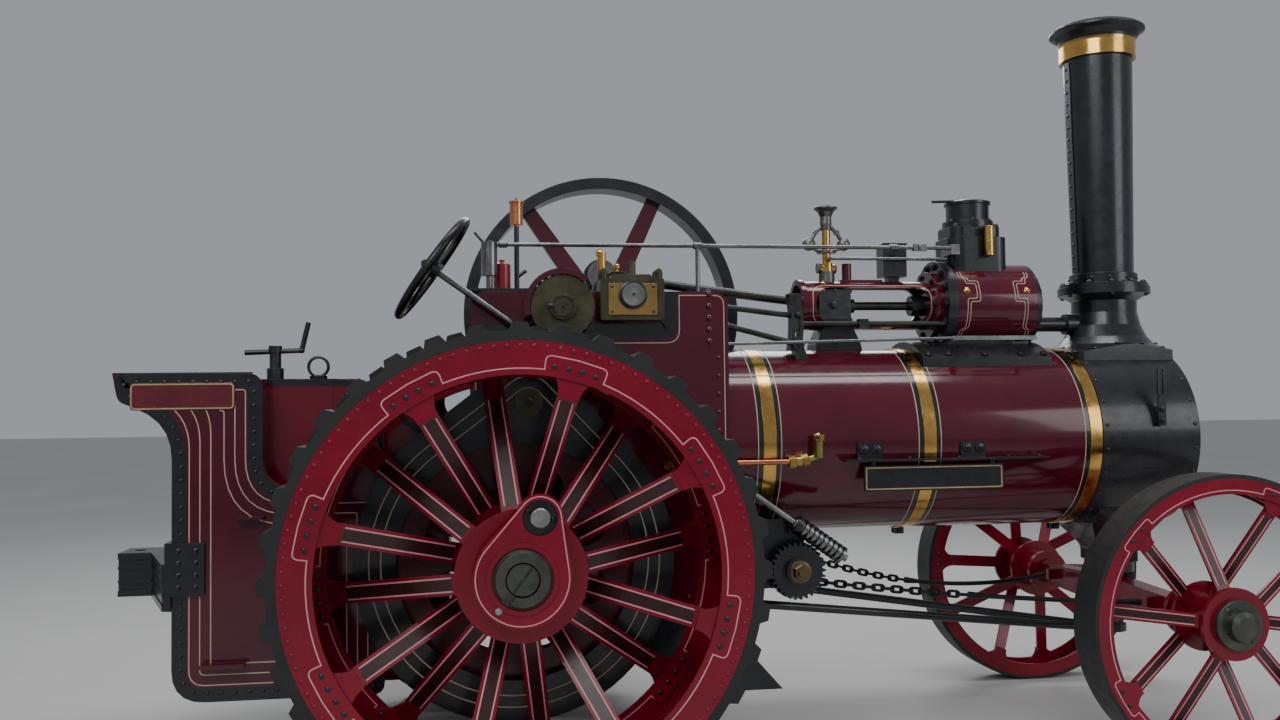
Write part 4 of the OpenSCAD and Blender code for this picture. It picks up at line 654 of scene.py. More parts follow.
cylinder_nuts = [
    nuts(0.028, at(cyl_low, 0, motion_z) + 0.182 * flange_out, (-1, 0, 0)),
    nuts(0.024, at(cyl_high, 0, motion_z) + 0.138 * flange_out[::2], (1, 0, 0)),
    nuts(0.022, at(1.9207, 0, motion_z) + 0.136 * flange_out[1::2], (-1, 0, 0)),
    nuts(0.024, at(dome_x + corner_x, corner_y, 2.285), (0, 0, 1)),
    nuts(0.016, at(dome_x + 0.107 * np.cos(dome_turns), 0.107 * np.sin(dome_turns), 2.315), (0, 0, 1)),
    nuts(0.024, at(1.845, (-0.031, 0.031), motion_z), (-1, 0, 0)),
    nuts(0.026, at(saddle_x, np.tile((-saddle_y, saddle_y), 5), saddle_z), saddle_out)]
piece("cylinder_nuts", cylinder_nuts, black)
valve_finish = finish(
    "valve_drum_black", black_tone,
    [(in_box((-everywhere, -0.2, 0), (everywhere, -0.1215, everywhere)), brass_tone)], coat=0.15, scale=5.0,
    dust=0.06)
dress(valve_finish, "safety_valve")
balance = [
    lathe([(-0.001, 0), (-0.001, 0.024), (0.006, 0.024), (0.006, 0)], at(2.176, -0.146, z), (0, 0, 1), 20)
    for z in (2.145, 2.205, 2.272)]
piece("spring_balance_collars", balance, brass)

# Trunk guide and crosshead: the guide is a bored maroon tube with a long window each side, edged with a
# cream line. The oiled crosshead slides in it, and the rods run back to the crank.
dress(maroon, "trunk_guide")
steel_tone = ((0.36, 0.36, 0.35), (0.20, 0.20, 0.19), 0.22, 0.42, 1.0)
dark_steel_tone = ((0.085, 0.092, 0.088), (0.045, 0.050, 0.047), 0.26, 0.46, 1.0)
olive_tone = ((0.100, 0.092, 0.055), (0.060, 0.055, 0.034), 0.30, 0.50, 0.7)
bright = finish("bright_steel", steel_tone, bump=0.00005, scale=8.0)
oiled = finish("oiled_steel", dark_steel_tone, bump=0.00006, scale=8.0, wear=0.5, worn=(0.35, 0.35, 0.34))
olive = finish("gear_steel", olive_tone, bump=0.00008, scale=8.0, wear=0.6, worn=(0.30, 0.28, 0.20))
dress(oiled, "connecting_rod", "crosshead", "valve_gear")
dress(bright, "crankshaft")
guide_r = 0.112
window = []
for side in (-1, 1):
    flat = rounded([(1.352, -0.100), (1.909, -0.100), (1.909, 0.100), (1.352, 0.100)], 0.075, steps=9)
    flat = spaced(flat, 0.008)
    window.append(wrapped_line(flat[:, 0], flat[:, 1], guide_r, side, 0.0035, closed=True))
piece("guide_lines", window, cream)


def oil_cup(place, size=1.0):
    """A turned brass oil cup: foot, stem, bowl and knobbed lid."""
    profile = np.array(
        [(-0.002, 0), (-0.002, 0.011), (0.004, 0.011), (0.006, 0.006), (0.014, 0.006), (0.018, 0.014),
         (0.036, 0.015), (0.040, 0.012), (0.042, 0.005), (0.048, 0.006), (0.050, 0)]) * size
    return lathe(profile, place, (0, 0, 1), 20)


crank_angle = np.radians(118)
crank_x, throw = 0.475, 0.150
pin_place = (crank_x + throw * np.cos(crank_angle), 0, motion_z + throw * np.sin(crank_angle))
cups = [
    oil_cup(at(1.420, -0.040, motion_z + 0.066)), oil_cup(at(pin_place[0], 0, pin_place[2] + 0.071), 1.1),
    oil_cup(at(crank_x - 0.018, -0.143, motion_z + 0.131), 0.8),
    oil_cup(at(crank_x - 0.018, -0.193, motion_z + 0.131), 0.8)]
piece("oil_cups", cups, brass)
rod_nuts = [
    nuts(0.022, at(pin_place[0] + dx, side * 0.038, pin_place[2] + dz), (0, side, 0)) for side in (-1, 1)
    for dx, dz in ((0.052, 0.0), (-0.052, 0.0))]
rod_nuts.append(nuts(0.030, at(1.465, (-0.066, 0.066), motion_z), ((0, -1, 0), (0, 1, 0))))
rod_nuts.append(nuts(0.020, at((1.255, 1.255), -0.196, (1.870, 1.740)), (0, -1, 0)))
piece("motion_nuts", rod_nuts, oiled)

# Crankshaft bearings: dark cast housings on the hornplates with a brass face plate, capped and bolted,
# and fed from brass cups. A black collar runs on the shaft's end, which has its turning centre.
face_y = 0.5285
bearing_finish = finish(
    "bearing_castings", olive_tone,
    [(in_box((-everywhere, -everywhere, 0), (everywhere, -face_y, everywhere)),
      ((0.50, 0.33, 0.12), (0.38, 0.24, 0.08), 0.20, 0.36, 1.0)),
     (in_box((-everywhere, -everywhere, motion_z + 0.098), (everywhere,) * 3), brass_tone),
     (in_box(at(0.462, -everywhere, motion_z + 0.0865), at(0.500, everywhere, everywhere)), olive_tone)],
    bump=0.00012, scale=8.0, dust=0.10, wear=0.5, worn=(0.28, 0.25, 0.18))
dress(bearing_finish, "crank_bearings")
bearing = []
for x in (-0.112, 0.112):
    for y in (-0.502, -0.421, 0.421, 0.459):
        bearing.append(nuts(0.024, at(crank_x + x, y, motion_z + 0.096), (0, 0, 1)))
corner_x, corner_z = np.array((-0.084, 0.084, -0.084, 0.084)), np.array((-0.066, -0.066, 0.034, 0.034))
bearing.append(rivets(0.007, at(crank_x + corner_x, -0.536, motion_z + corner_z), (0, -1, 0)))
piece("bearing_nuts", bearing, olive)
collar = [
    lathe(
        [(0, 0.044), (0, 0.054), (0.003, 0.057), (0.015, 0.057), (0.017, 0.054), (0.017, 0.044)],
        at(crank_x, -0.5362, motion_z), (0, -1, 0), 48, closed=True),
    lathe(
        [(-0.001, 0), (-0.001, 0.006), (0.0006, 0.006), (0.0006, 0)], at(crank_x, -0.560, motion_z),
        (0, -1, 0), 16)]
piece("shaft_collar", collar, black)

# Governor and controls: grey steel arms with cast balls round a brass spindle, and the long bright rods
# from the cylinder to the footplate.
spindle = at(1.452, 0, motion_z)
governor_finish = finish(
    "governor_metals", ((0.20, 0.20, 0.19), (0.12, 0.12, 0.115), 0.30, 0.50, 1.0),
    [(in_box(spindle + (-0.0215, -0.0215, 0.19), spindle + (0.0215, 0.0215, 0.35)), brass_tone),
     (in_box(spindle + (-0.032, -0.032, 0.158), spindle + (0.032, 0.032, 0.198)), brass_tone)],
    bump=0.00006, scale=8.0, dust=0.10, wear=0.4, worn=(0.3, 0.3, 0.29))
dress(governor_finish, "governor")
rod_steel = finish(
    "rod_steel", ((0.26, 0.27, 0.27), (0.15, 0.155, 0.155), 0.24, 0.34, 1.0), bump=0.000004, edge=0,
    scale=9.0)
dress(rod_steel, "regulator_rods")
rod_y, rod_z = -0.200, motion_z + 0.245
knuckles = [
    lathe(
        [(-0.020, 0), (-0.020, 0.010), (-0.016, 0.015), (0.016, 0.015), (0.020, 0.010), (0.020, 0)],
        at(x, rod_y, rod_z), (1, 0, 0), 16)
    for x in (0.808, 1.700, -0.030)]
knuckles.append(nuts(0.020, at(1.820, rod_y - 0.014, rod_z), (0, -1, 0)))
knuckles.append(rivets(0.010, spindle + (0, 0, 0.459), (0, 0, 1)))
piece("rod_knuckles", knuckles, rod_steel)

# Lubricators: a black box on the guide, a copper pot on its stand and a red can, on the black shelf
# behind the crankshaft. The box has a hinged lid with a knob.
shelf_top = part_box("hornplate_right")[1][2] + 0.0126
copper_tone = ((0.66, 0.26, 0.12), (0.46, 0.16, 0.07), 0.16, 0.32, 1.0)
can_tone = ((0.30, 0.006, 0.020), (0.24, 0.004, 0.015), 0.2, 0.3, 0.0)
lubricator_finish = finish(
    "lubricator_paints", black_tone,
    [(in_box((-everywhere, -everywhere, 2.262), (everywhere,) * 3), copper_tone),
     (in_box(at(-0.075, -0.18, shelf_top), at(0.0045, -0.090, 2.20)), can_tone)],
    scale=6.0, coat=0.3, dust=0.06)
dress(lubricator_finish, "lubricators")
lid_x, lid_top = 1.764, 2.212
lid = [
    block(at(1.704, -0.049, 2.2055), at(1.824, 0.049, lid_top), 0.0015),
    rivets(0.009, at(lid_x, -0.030, lid_top), (0, 0, 1), 12),
    lathe(
        [(-0.020, 0), (-0.020, 0.005), (0.020, 0.005), (0.020, 0)], at(lid_x, 0.051, 2.208), (1, 0, 0), 10)]
piece("lubricator_lid", lid, black)
can = at(-0.033, -0.130, shelf_top)
piece(
    "oil_can_top",
    [lathe(
         [(0.1270, 0), (0.1270, 0.033), (0.132, 0.031), (0.138, 0.014), (0.150, 0.010), (0.152, 0)], can,
         (0, 0, 1), 28)],
    finish("can_red", can_tone, scale=6.0, coat=0.3))

# Side shelf and blank plate: a narrow black shelf hangs on two bolted brackets on the barrel's side; the
# long blank plate under it is black with a raised gold edge.
dress(black, "side_shelf")
bracket_z = 1.284
bracket_x = (1.467, 1.523, 1.927, 1.983)
shelf_bolts = [
    copies(
        lathe(
            [(-0.001, 0), (-0.001, 0.020), (0.006, 0.020), (0.008, 0.016), (0.008, 0)], (0, 0, 0),
            (0, 0, 1), 20),
        at(bracket_x, -0.4143, bracket_z), (0, -1, 0)),
    nuts(0.018, at(bracket_x, -0.4223, bracket_z), (0, -1, 0)),
    nuts(0.014, at(np.array((1.44, 1.66, 1.88, 2.10, 2.24)), -0.445, 1.244), (0, 0, 1))]
piece("shelf_bolts", shelf_bolts, black)
plate_y = -0.4243
frame_line = rounded([(1.474, 1.117), (2.076, 1.117), (2.076, 1.206), (1.474, 1.206)], 0.004, steps=3)
gold = finish("gold_edge", ((0.60, 0.46, 0.26), (0.48, 0.35, 0.18), 0.25, 0.4, 0.6), edge=0, scale=12)
piece(
    "blank_plate_edge",
    [strip(at(frame_line[:, 0], plate_y, frame_line[:, 1]), (0, -1, 0), 0.0055, 0.0025, closed=True)], gold)

# Feed pipe: bright copper from the hornplate to the brass check valve, made fast with flanges and union
# nuts.
feed_finish = finish(
    "feed_metals", copper_tone,
    [(in_box(at(1.149, -everywhere, 0), (everywhere,) * 3),
      ((0.42, 0.34, 0.12), (0.30, 0.24, 0.08), 0.25, 0.4, 1.0))],
    bump=0.00005, scale=9.0)
dress(feed_finish, "feed_pipe")
pipe_y, valve_x = -0.440, 1.262
union = lathe(
    [(-0.017, 0), (-0.017, 0.022), (-0.014, 0.026), (0.014, 0.026), (0.017, 0.022), (0.017, 0)], (0, 0, 0),
    (0, 0, 1), 6)
unions = [
    copies(union, at((1.150, 1.205), pipe_y, (1.240, 1.2443)), ((1, 0, 0), (1, 0, 0.3))),
    copies(union, at(valve_x, pipe_y, 1.336), (0, 0, 1)),
    rivets(0.013, at(valve_x, pipe_y, 1.352), (0, 0, 1), 12)]
piece("feed_unions", unions, brass)
piece(
    "feed_flange_nuts", [nuts(0.014, at(0.640, -0.4284, 1.240 + np.array((-0.021, 0.021))), (0, -1, 0))],
    black)

# Gears and guard: the second shaft's disc is dull bronze-grey steel, the third shaft's pinion drives the
# big crimson gear. The black teardrop guard outside it has two cream lines.
gear_crimson = finish(
    "gear_crimson", ((0.075, 0.002, 0.006), (0.050, 0.0015, 0.004), 0.22, 0.36, 0.0), dust=0.05)
dress(gear_crimson, "drive_gears")
dress(olive, "motion_gears")
dress(
    finish(
        "guard_black", black_tone,
        [(in_box((-everywhere, -everywhere, 1.70), (everywhere,) * 3), maroon_tone)], coat=0.2, dust=0.06),
    "gear_guard")
axle_z = middle("rear_axle")[0][2]
guard_y = -0.612
third = np.array((0.050, 1.500 - axle_z))
third_turn, third_far = np.arctan2(third[1], third[0]), np.hypot(*third)
guard_outer, guard_lobe = third_far * 0.8 + 0.126, 0.160
open_turn = np.arccos((guard_outer - guard_lobe) / third_far)
guard_lines = []
for depth in (0.059, 0.103):
    big = np.linspace(third_turn + open_turn, third_turn + 2 * np.pi - open_turn, 90)
    small = np.linspace(third_turn - open_turn, third_turn + open_turn, 16)
    x = np.concatenate(
        [(guard_outer - depth) * np.cos(big), third[0] + (guard_lobe - depth) * np.cos(small)])
    z = np.concatenate(
        [(guard_outer - depth) * np.sin(big), third[1] + (guard_lobe - depth) * np.sin(small)])
    guard_lines.append(strip(at(x, guard_y, axle_z + z), (0, -1, 0), 0.005, closed=True))
piece("guard_lines", guard_lines, cream)
shaft_2, shaft_3 = at(0.187, -0.624, 1.873), at(0.050, -0.626, 1.500)
shaft_ends = [
    lathe(
        [(0, 0.040), (0.002, 0.044), (0.004, 0.044), (0.004, 0.036), (0, 0.036)], shaft_2, (0, -1, 0), 40,
        closed=True),
    block(shaft_2 + (-0.058, -0.006, -0.008), shaft_2 + (-0.036, 0.004, 0.008)),
    rivets(0.005, shaft_2, (0, -1, 0)), nuts(0.030, shaft_3, (0, -1, 0))]
piece("shaft_end_details", shaft_ends, oiled)

# Steering: a dark handwheel on a bright inclined shaft, whose worm turns the chain barrel under the
# boiler. From the barrel each chain of welded links, ending in a rod, runs to an eye on the front axle;
# one hangs slack.
rim_steel = finish(
    "handwheel_steel", ((0.050, 0.052, 0.052), (0.030, 0.031, 0.031), 0.28, 0.42, 0.9), wear=0.4,
    worn=(0.3, 0.3, 0.3))
dress(rim_steel, "steering_wheel")
dress(rod_steel, "steering_shaft")
dress(black, "steering_barrel")


def tube(path, radius, sides=8, closed=False, up=(0, 0, 1)):
    """A round bar along a path: a ring of points square to it at each point, up marking where the ring
    starts."""
    path = np.asarray(path, float)
    radius = np.broadcast_to(radius, len(path))[:, None, None]
    ahead = unit(np.roll(path, -1, 0) - np.roll(path, 1, 0)) if closed else unit(np.gradient(path, axis=0))
    side = unit(np.cross(up, ahead))[:, None]
    over = np.cross(ahead, side[:, 0])[:, None]
    turn = np.arange(sides)[None, :, None] / sides * 2 * np.pi
    rings = path[:, None] + radius * (np.cos(turn) * side + np.sin(turn) * over)
    if not closed:
        rings = np.concatenate(
            [np.repeat(path[:1, None], sides, 1), rings, np.repeat(path[-1:, None], sides, 1)])
    return lattice(rings, around=True, along=closed)


link_bar, link_half_width, link_pitch, links_in_run = 0.0062, 0.0120, 0.041, 20
half_turn = np.linspace(-np.pi / 2, np.pi / 2, 6)
link_end = np.stack(
    [link_half_width * np.cos(half_turn), link_half_width * np.sin(half_turn), 0 * half_turn], -1)
link_reach = np.array((link_pitch / 2 + link_bar - link_half_width, 0, 0))
link_path = np.concatenate([link_end + link_reach, -link_end - link_reach])
link = tube(link_path, link_bar, 6, closed=True)
barrel_x, barrel_wrap, chain_y = 1.150, 0.062, 0.250
barrel = at(barrel_x, 0, 0.797)
front_middle, _ = middle("front_axle")
eye_x, eye_y, eye_z = front_middle[0] - axle_x - 0.067, 0.430, 0.600
chain_parts, rod_parts = [], []
for side, below, sag in ((-1, -1, 0.020), (1, 1, 0.120)):
    run = np.array((eye_x - barrel_x, eye_z - barrel[2]))
    leave = np.arctan2(run[1], run[0]) + below * np.arccos(barrel_wrap / np.hypot(*run))
    start = barrel + (barrel_wrap * np.cos(leave), side * chain_y, barrel_wrap * np.sin(leave))
    end = at(eye_x, side * eye_y, eye_z)
    t = np.linspace(0, 1, 400)[:, None]
    hanging = start + (end - start) * t - np.array((0, 0, 4 * sag)) * t * (1 - t)
    length = np.concatenate([[0], np.cumsum(np.linalg.norm(np.diff(hanging, axis=0), axis=1))])

    def along_chain(distance):
        """Points at distances along the hanging chain."""
        return np.stack([np.interp(distance, length, hanging[:, k]) for k in range(3)], -1)

    distance = 0.012 + link_pitch * np.arange(links_in_run)
    ahead = unit(along_chain(distance + 0.01) - along_chain(distance - 0.01))
    across = unit(np.cross((0, 0, 1), ahead))
    up = np.where(np.arange(links_in_run)[:, None] % 2 == 0, across, np.cross(ahead, across))
    chain_parts.append(copies(link, along_chain(distance), up, ahead))
    rod_run = along_chain(np.linspace(distance[-1] + 0.024, length[-1] - 0.028, 24))
    rod_parts.append(tube(rod_run, np.r_[0.016, 0.014, np.full(20, 0.0105), 0.014, 0.016], 10))
    wrap_turns = leave + below * np.arange(0, 5.2, link_pitch / barrel_wrap)
    wrap = barrel + np.stack(
        [barrel_wrap * np.cos(wrap_turns), side * (chain_y - 0.007 * np.arange(len(wrap_turns))),
         barrel_wrap * np.sin(wrap_turns)],
        -1)
    outward = np.stack([np.cos(wrap_turns), 0 * wrap_turns, np.sin(wrap_turns)], -1)
    forward = np.stack([-np.sin(wrap_turns), 0 * wrap_turns, np.cos(wrap_turns)], -1)
    lying = np.where(np.arange(len(wrap_turns))[:, None] % 2 == 0, (0, 1.0, 0), outward)
    chain_parts.append(copies(link, wrap[1:], lying[1:], forward[1:]))
chain_steel = finish(
    "chain_iron", ((0.020, 0.020, 0.021), (0.010, 0.010, 0.011), 0.30, 0.45, 0.6), wear=0.4,
    worn=(0.2, 0.2, 0.2))
chains = piece("steering_chain_links", chain_parts + rod_parts, chain_steel, body=None)
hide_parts("steering_chains")
tuple(float(v) for v in at(eye_x, 0, barrel[2]))
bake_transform(chains)
boss = barrel + (0, -0.530, 0)
boss_bronze = finish("boss_bronze", ((0.16, 0.12, 0.06), (0.10, 0.075, 0.04), 0.3, 0.45, 0.9), scale=9)
boss_nut = [nuts(0.060, boss, (0, -1, 0)), lathe(
    [(-0.001, 0), (-0.001, 0.046), (0.004, 0.046), (0.006, 0.042), (0.006, 0)], boss, (0, -1, 0), 32)]
piece("barrel_nut", boss_nut, boss_bronze)
bracket_bolts = [
    nuts(0.026, at(0.93, side * 0.4203, (0.735, 0.84, 0.93)), (0, side, 0)) for side in (-1, 1)]
hand_up = unit((0.8141, 0, -0.5808))
bracket_bolts.append(nuts(0.030, at(-0.317, -0.475, 2.035) - 0.031 * hand_up, -hand_up))
piece("steering_bolts", bracket_bolts, black)

# Front axle: a crimson beam in a black fork under the smokebox, steered about its king pin. The radius
# rods hold the fork from the firebox, and the perch bracket is bolted to the smokebox.
crimson_tone = ((0.230, 0.0012, 0.0190), (0.175, 0.0010, 0.0140), 0.20, 0.32, 0.0)
crimson = finish("crimson_wheel_paint", crimson_tone, coat=0.15, gloss=0.35, dust=0.04, bump=0.00008)
dress(crimson, "front_axle")
dress(black, "axle_fork", "perch_bracket", "radius_rods")
perch_x = front_middle[0] - axle_x
piece("king_pin_nut", [nuts(0.046, at(perch_x, 0, 0.3990), (0, 0, -1))], black)
fork_bolts = [
    nuts(0.026, at(perch_x + side * 0.0753, (-0.045, 0.045), z), (side, 0, 0)) for side in (-1, 1)
    for z in (0.520, 0.660)]
piece("fork_bolts", fork_bolts, black, "front_axle")
piece(
    "perch_bolts",
    [nuts(0.024, at(perch_x + np.array((-0.15, -0.05, 0.05, 0.12)), side * 0.2503, 1.010), (0, side, 0))
     for side in (-1, 1)],
    black)

# Tender: maroon plates over a riveted frame, with a black edging of rivets, three cream lines that follow
# the outline, and a blank name plate, red with a gold edge, on each side. The side boxes and the manstand
# are brighter.
panel_tone = ((0.150, 0.0018, 0.0140), (0.110, 0.0014, 0.0100), 0.14, 0.24, 0.0)
tender_finish = finish(
    "tender_maroon", maroon_tone, [(in_box(at(-0.975, -0.475, 0.98), at(-0.690, 0.475, 1.70)), panel_tone)],
    coat=0.30, gloss=0.4, dust=0.04, bump=0.00006)
dress(tender_finish, "tender_body")
dress(finish("manstand_maroon", panel_tone, coat=0.3, gloss=0.4, dust=0.05), "manstand")
dress(black, "drawbar")
dress(oiled, "brake_column")
side_y = 0.600
side_corners = np.array(
    [(-1.270, 0.405), (-0.500, 0.405), (-0.500, 1.420), (-0.655, 1.420), (-0.655, 1.190), (-0.945, 1.190),
     (-0.945, 1.622), (-1.481, 1.622), (-1.462, 1.520), (-1.270, 1.440)])
side_radii = np.array([0.120, 0.040, 0.050, 0.060, 0.110, 0.110, 0.055, 0.0, 0.040, 0.130])
lined_corners = np.array(
    [(-1.270, 0.405), (-0.500, 0.405), (-0.500, 1.190), (-0.945, 1.190), (-0.945, 1.622), (-1.481, 1.622),
     (-1.462, 1.520), (-1.270, 1.440)])
lined_radii = np.array([0.120, 0.040, 0.060, 0.110, 0.055, 0.0, 0.040, 0.130])


def inset(corners, radii, depth):
    """An outline moved in by depth: each corner along (left + left') / (1 + left . left'), with rounder
    hollows."""
    ahead = unit(np.roll(corners, -1, 0) - corners)
    behind = np.roll(ahead, 1, 0)
    left, left_before = (np.stack([-way[:, 1], way[:, 0]], -1) for way in (ahead, behind))
    moved = corners + depth * (left + left_before) / (1 + np.sum(left * left_before, -1, keepdims=True))
    convex = behind[:, 0] * ahead[:, 1] - behind[:, 1] * ahead[:, 0] > 0
    return moved, np.where(convex, np.maximum(radii - depth, 0.012), radii + depth)


edging, tender_lines, edge_rivets = [], [], []
for side in (-1, 1):
    def on_side(path):
        """Points of the side plate's drawing on its outer face."""
        return at(path[:, 0], side * side_y, path[:, 1])
    edging.append(strip(
        on_side(rounded(*inset(side_corners, side_radii, 0.0262))), (0, side, 0), 0.052, 0.0015,
        closed=True))
    for depth in (0.062, 0.100, 0.139):
        corners, radii = inset(lined_corners, lined_radii, depth)
        path = np.concatenate(
            [corners[-1:] + (-0.129, 0.054), corners[-1:], corners[:5], [(-1.100, corners[4, 1])]])
        path = rounded(path, (0, 0.138, *radii[:5], 0), closed=False, steps=9)
        tender_lines.append(strip(on_side(path), (0, side, 0), 0.0042))
    edge_rivets.append(rivets(
        0.0075,
        on_side(spaced(rounded(*inset(side_corners, side_radii, 0.032)), 0.050)) + (0, side * 0.0015, 0),
        (0, side, 0)))
    bolts_x, bolts_z = (
        grid.ravel() for grid in np.meshgrid((-1.245, -1.183), (0.830, 0.875, 0.920, 0.965)))
    edge_rivets.append(rivets(0.011, at(bolts_x, side * 0.6143, bolts_z), (0, side, 0)))
    rail = rounded(
        [(-0.958, 1.588), (-0.603, 1.588), (-0.375, 1.392), (-0.188, 1.250), (-0.188, 0.992)],
        (0, 0.09, 0.11, 0.07, 0), closed=False)
    edging.append(strip(at(rail[:, 0], side * 0.470, rail[:, 1]), (0, side, 0), 0.026, 0.0015))
    top_x = np.array((-1.480, -0.985))
    edging.append(strip(at(top_x, side * 0.586, 1.622), (0, 0, 1), 0.028, 0.004))
piece("tender_edging", edging, black)
piece("tender_lines", tender_lines, cream)
piece("tender_rivets", edge_rivets, black)


def plate(corners, radius, thickness, normal, cut=0.0015):
    """A flat plate with round corners: its outline at the back and front, drawn in by the cut at the
    face, and closed."""
    outline = rounded(corners, radius)
    normal = np.asarray(normal, float)
    centre = outline.mean(0)
    drawn = outline + sideways(outline, np.broadcast_to(normal, outline.shape), True) * cut
    if np.linalg.norm(drawn - centre, axis=1).sum() > np.linalg.norm(outline - centre, axis=1).sum():
        drawn = 2 * outline - drawn
    middle_ring = np.broadcast_to(centre, outline.shape)
    rows = [
        middle_ring, outline, outline + normal * (thickness - cut), drawn + normal * thickness,
        middle_ring + normal * thickness]
    return lattice(np.stack(rows), around=True)


plate_red = finish(
    "plate_red", ((0.130, 0.006, 0.014), (0.095, 0.004, 0.010), 0.25, 0.35, 0.0), coat=0.3, scale=9)
plates, plate_edges = [], []
for side in (-1, 1):
    corners = at((-1.419, -1.044, -1.044, -1.419), side * side_y, (1.486, 1.486, 1.588, 1.588))
    plates.append(plate(corners, 0.016, 0.005, (0, side, 0)))
    edge_path = rounded(
        corners + np.array(
            [(0.006, 0, 0.006), (-0.006, 0, 0.006), (-0.006, 0, -0.006), (0.006, 0, -0.006)]),
        0.014)
    plate_edges.append(strip(edge_path + (0, side * 0.005, 0), (0, side, 0), 0.0055, 0.002, closed=True))
piece("blank_name_plates", plates, plate_red)
piece("name_plate_edges", plate_edges, gold)

# Rear wheels: a steel rim with two flat rings, sixteen flat spokes riveted to them, and a hub whose
# driving plate is pinned to it. Crimson, with rose lines on the spokes and the rings; the cap and the pin
# are bare steel.
rose = finish("rose_lining", ((0.72, 0.33, 0.35), (0.60, 0.26, 0.28), 0.35, 0.5, 0.0), edge=0, scale=9.0)
spoke_dark = finish(
    "spoke_stripe", ((0.040, 0.008, 0.008), (0.028, 0.005, 0.006), 0.25, 0.35, 0.0), edge=0, scale=9.0)
cap_steel = finish(
    "cap_steel", ((0.115, 0.120, 0.100), (0.070, 0.075, 0.062), 0.30, 0.48, 0.8), scale=9.0, wear=0.4,
    worn=(0.35, 0.35, 0.32), dust=0.05)
pin_steel = finish("pin_steel", ((0.42, 0.42, 0.41), (0.30, 0.30, 0.29), 0.25, 0.40, 1.0), scale=14.0)
rubber = finish(
    "lug_rubber", ((0.014, 0.016, 0.015), (0.008, 0.009, 0.009), 0.50, 0.70, 0.0), scale=6.0, dust=0.20,
    bump=0.0008, grain=160, edge=0.004, wear=0.35, worn=(0.040, 0.039, 0.035))
rear_turns, rear_gap = np.radians(75), np.radians(45)


def wheel_point(centre, side, radius, turn, out):
    """A place on a wheel: centre + radius * (cos, sin) of its turn from ahead towards the top, out along
    the axle."""
    radius, turn, out = np.broadcast_arrays(*(np.asarray(v, float) for v in (radius, turn, out)))
    return np.stack([centre[0] + radius * np.cos(turn), side * out, centre[2] + radius * np.sin(turn)], -1)


def ring_line(radius, bulge, half, centres, rounding):
    """Turns and radii of a line round a wheel that steps out to the bulge from the turn half before each
    centre to half after it."""
    path = []
    for centre in centres:
        hump = rounded(
            [(-half * radius, radius), (-half * radius, bulge), (0, bulge), (half * radius, bulge),
             (half * radius, radius)],
            (0, rounding, 0, rounding, 0), closed=False)
        path.append(hump / (radius, 1) + (centre, 0))
        between = np.linspace(half, 2 * np.pi / len(centres) - half, 14)[1:-1]
        path.append(np.stack([between + centre, np.full(len(between), radius)], -1))
    return np.concatenate(path).T


def spoke_strips(centre, side, turns, start, end, reach, thick, offsets, width, height):
    """Straight strips on spokes that lean from (radius, out) start to end, between the two radii of
    reach."""
    slope = np.arctan2(end[1] - start[1], end[0] - start[0])
    radii = np.array(reach)
    out = start[1] + (radii - start[0]) * np.tan(slope) + thick / 2 / np.cos(slope)
    made = []
    for turn in turns:
        round_way = np.array((-np.sin(turn), 0, np.cos(turn)))
        normal = (-np.sin(slope) * np.cos(turn), side * np.cos(slope), -np.sin(slope) * np.sin(turn))
        for offset in offsets:
            made.append(strip(
                wheel_point(centre, side, radii, turn, out) + offset * round_way, normal, width, height))
    return made


def dressed_wheel(kind, side, hand, ring, hub_step):
    """Paints a wheel and gives its body, its centre and how far out its near ring, far ring and hub
    stand."""
    body, tyre = f"{kind}_wheel_{hand}", f"{kind}_tyre_{hand}"
    dress(crimson, body)
    dress(rubber, tyre)
    dress(cap_steel, f"{kind}_hubcap_{hand}")
    inner, outer = sorted(abs(corner[1]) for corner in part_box(tyre))
    return body, middle(tyre)[0], outer, inner + ring, outer + hub_step


def wheel_lines(centre, side, spokes, reach, thick, stripe, edge, ring):
    """The dark stripes and the rose lines. spokes are (turns, start, end, out of their ring), stripe is a
    width, edge (offset, width), ring (radius, bulge, half, rounding, width)."""
    dark, rosy = [], []
    for turns, start, end, _ in spokes:
        dark += spoke_strips(centre, side, turns, start, end, reach, thick, (0,), stripe, 0.0005)
        rosy += spoke_strips(
            centre, side, turns, start, end, reach, thick, (-edge[0], edge[0]), edge[1], 0.0009)
    for turns, _, _, out in spokes:
        turn, radius = ring_line(ring[0], ring[1], ring[2], turns, ring[3])
        rosy.append(strip(wheel_point(centre, side, radius, turn, out), (0, side, 0), ring[4], closed=True))
    return dark, rosy


def foot_rivets(centre, side, head, radius, spokes, offsets, ring):
    """Rivets through the spokes' feet: outside the near ring, and on both sides of the far one."""
    (near_turns, _, _, near), (far_turns, _, _, far) = spokes
    near_feet, far_feet = ((turns[:, None] + offsets).ravel() for turns in (near_turns, far_turns))
    return [
        rivets(head, wheel_point(centre, side, radius, turns, out), (0, way, 0))
        for turns, out, way in (
            (near_feet, near, side), (far_feet, far + ring, side), (far_feet, far - ring, -side))]


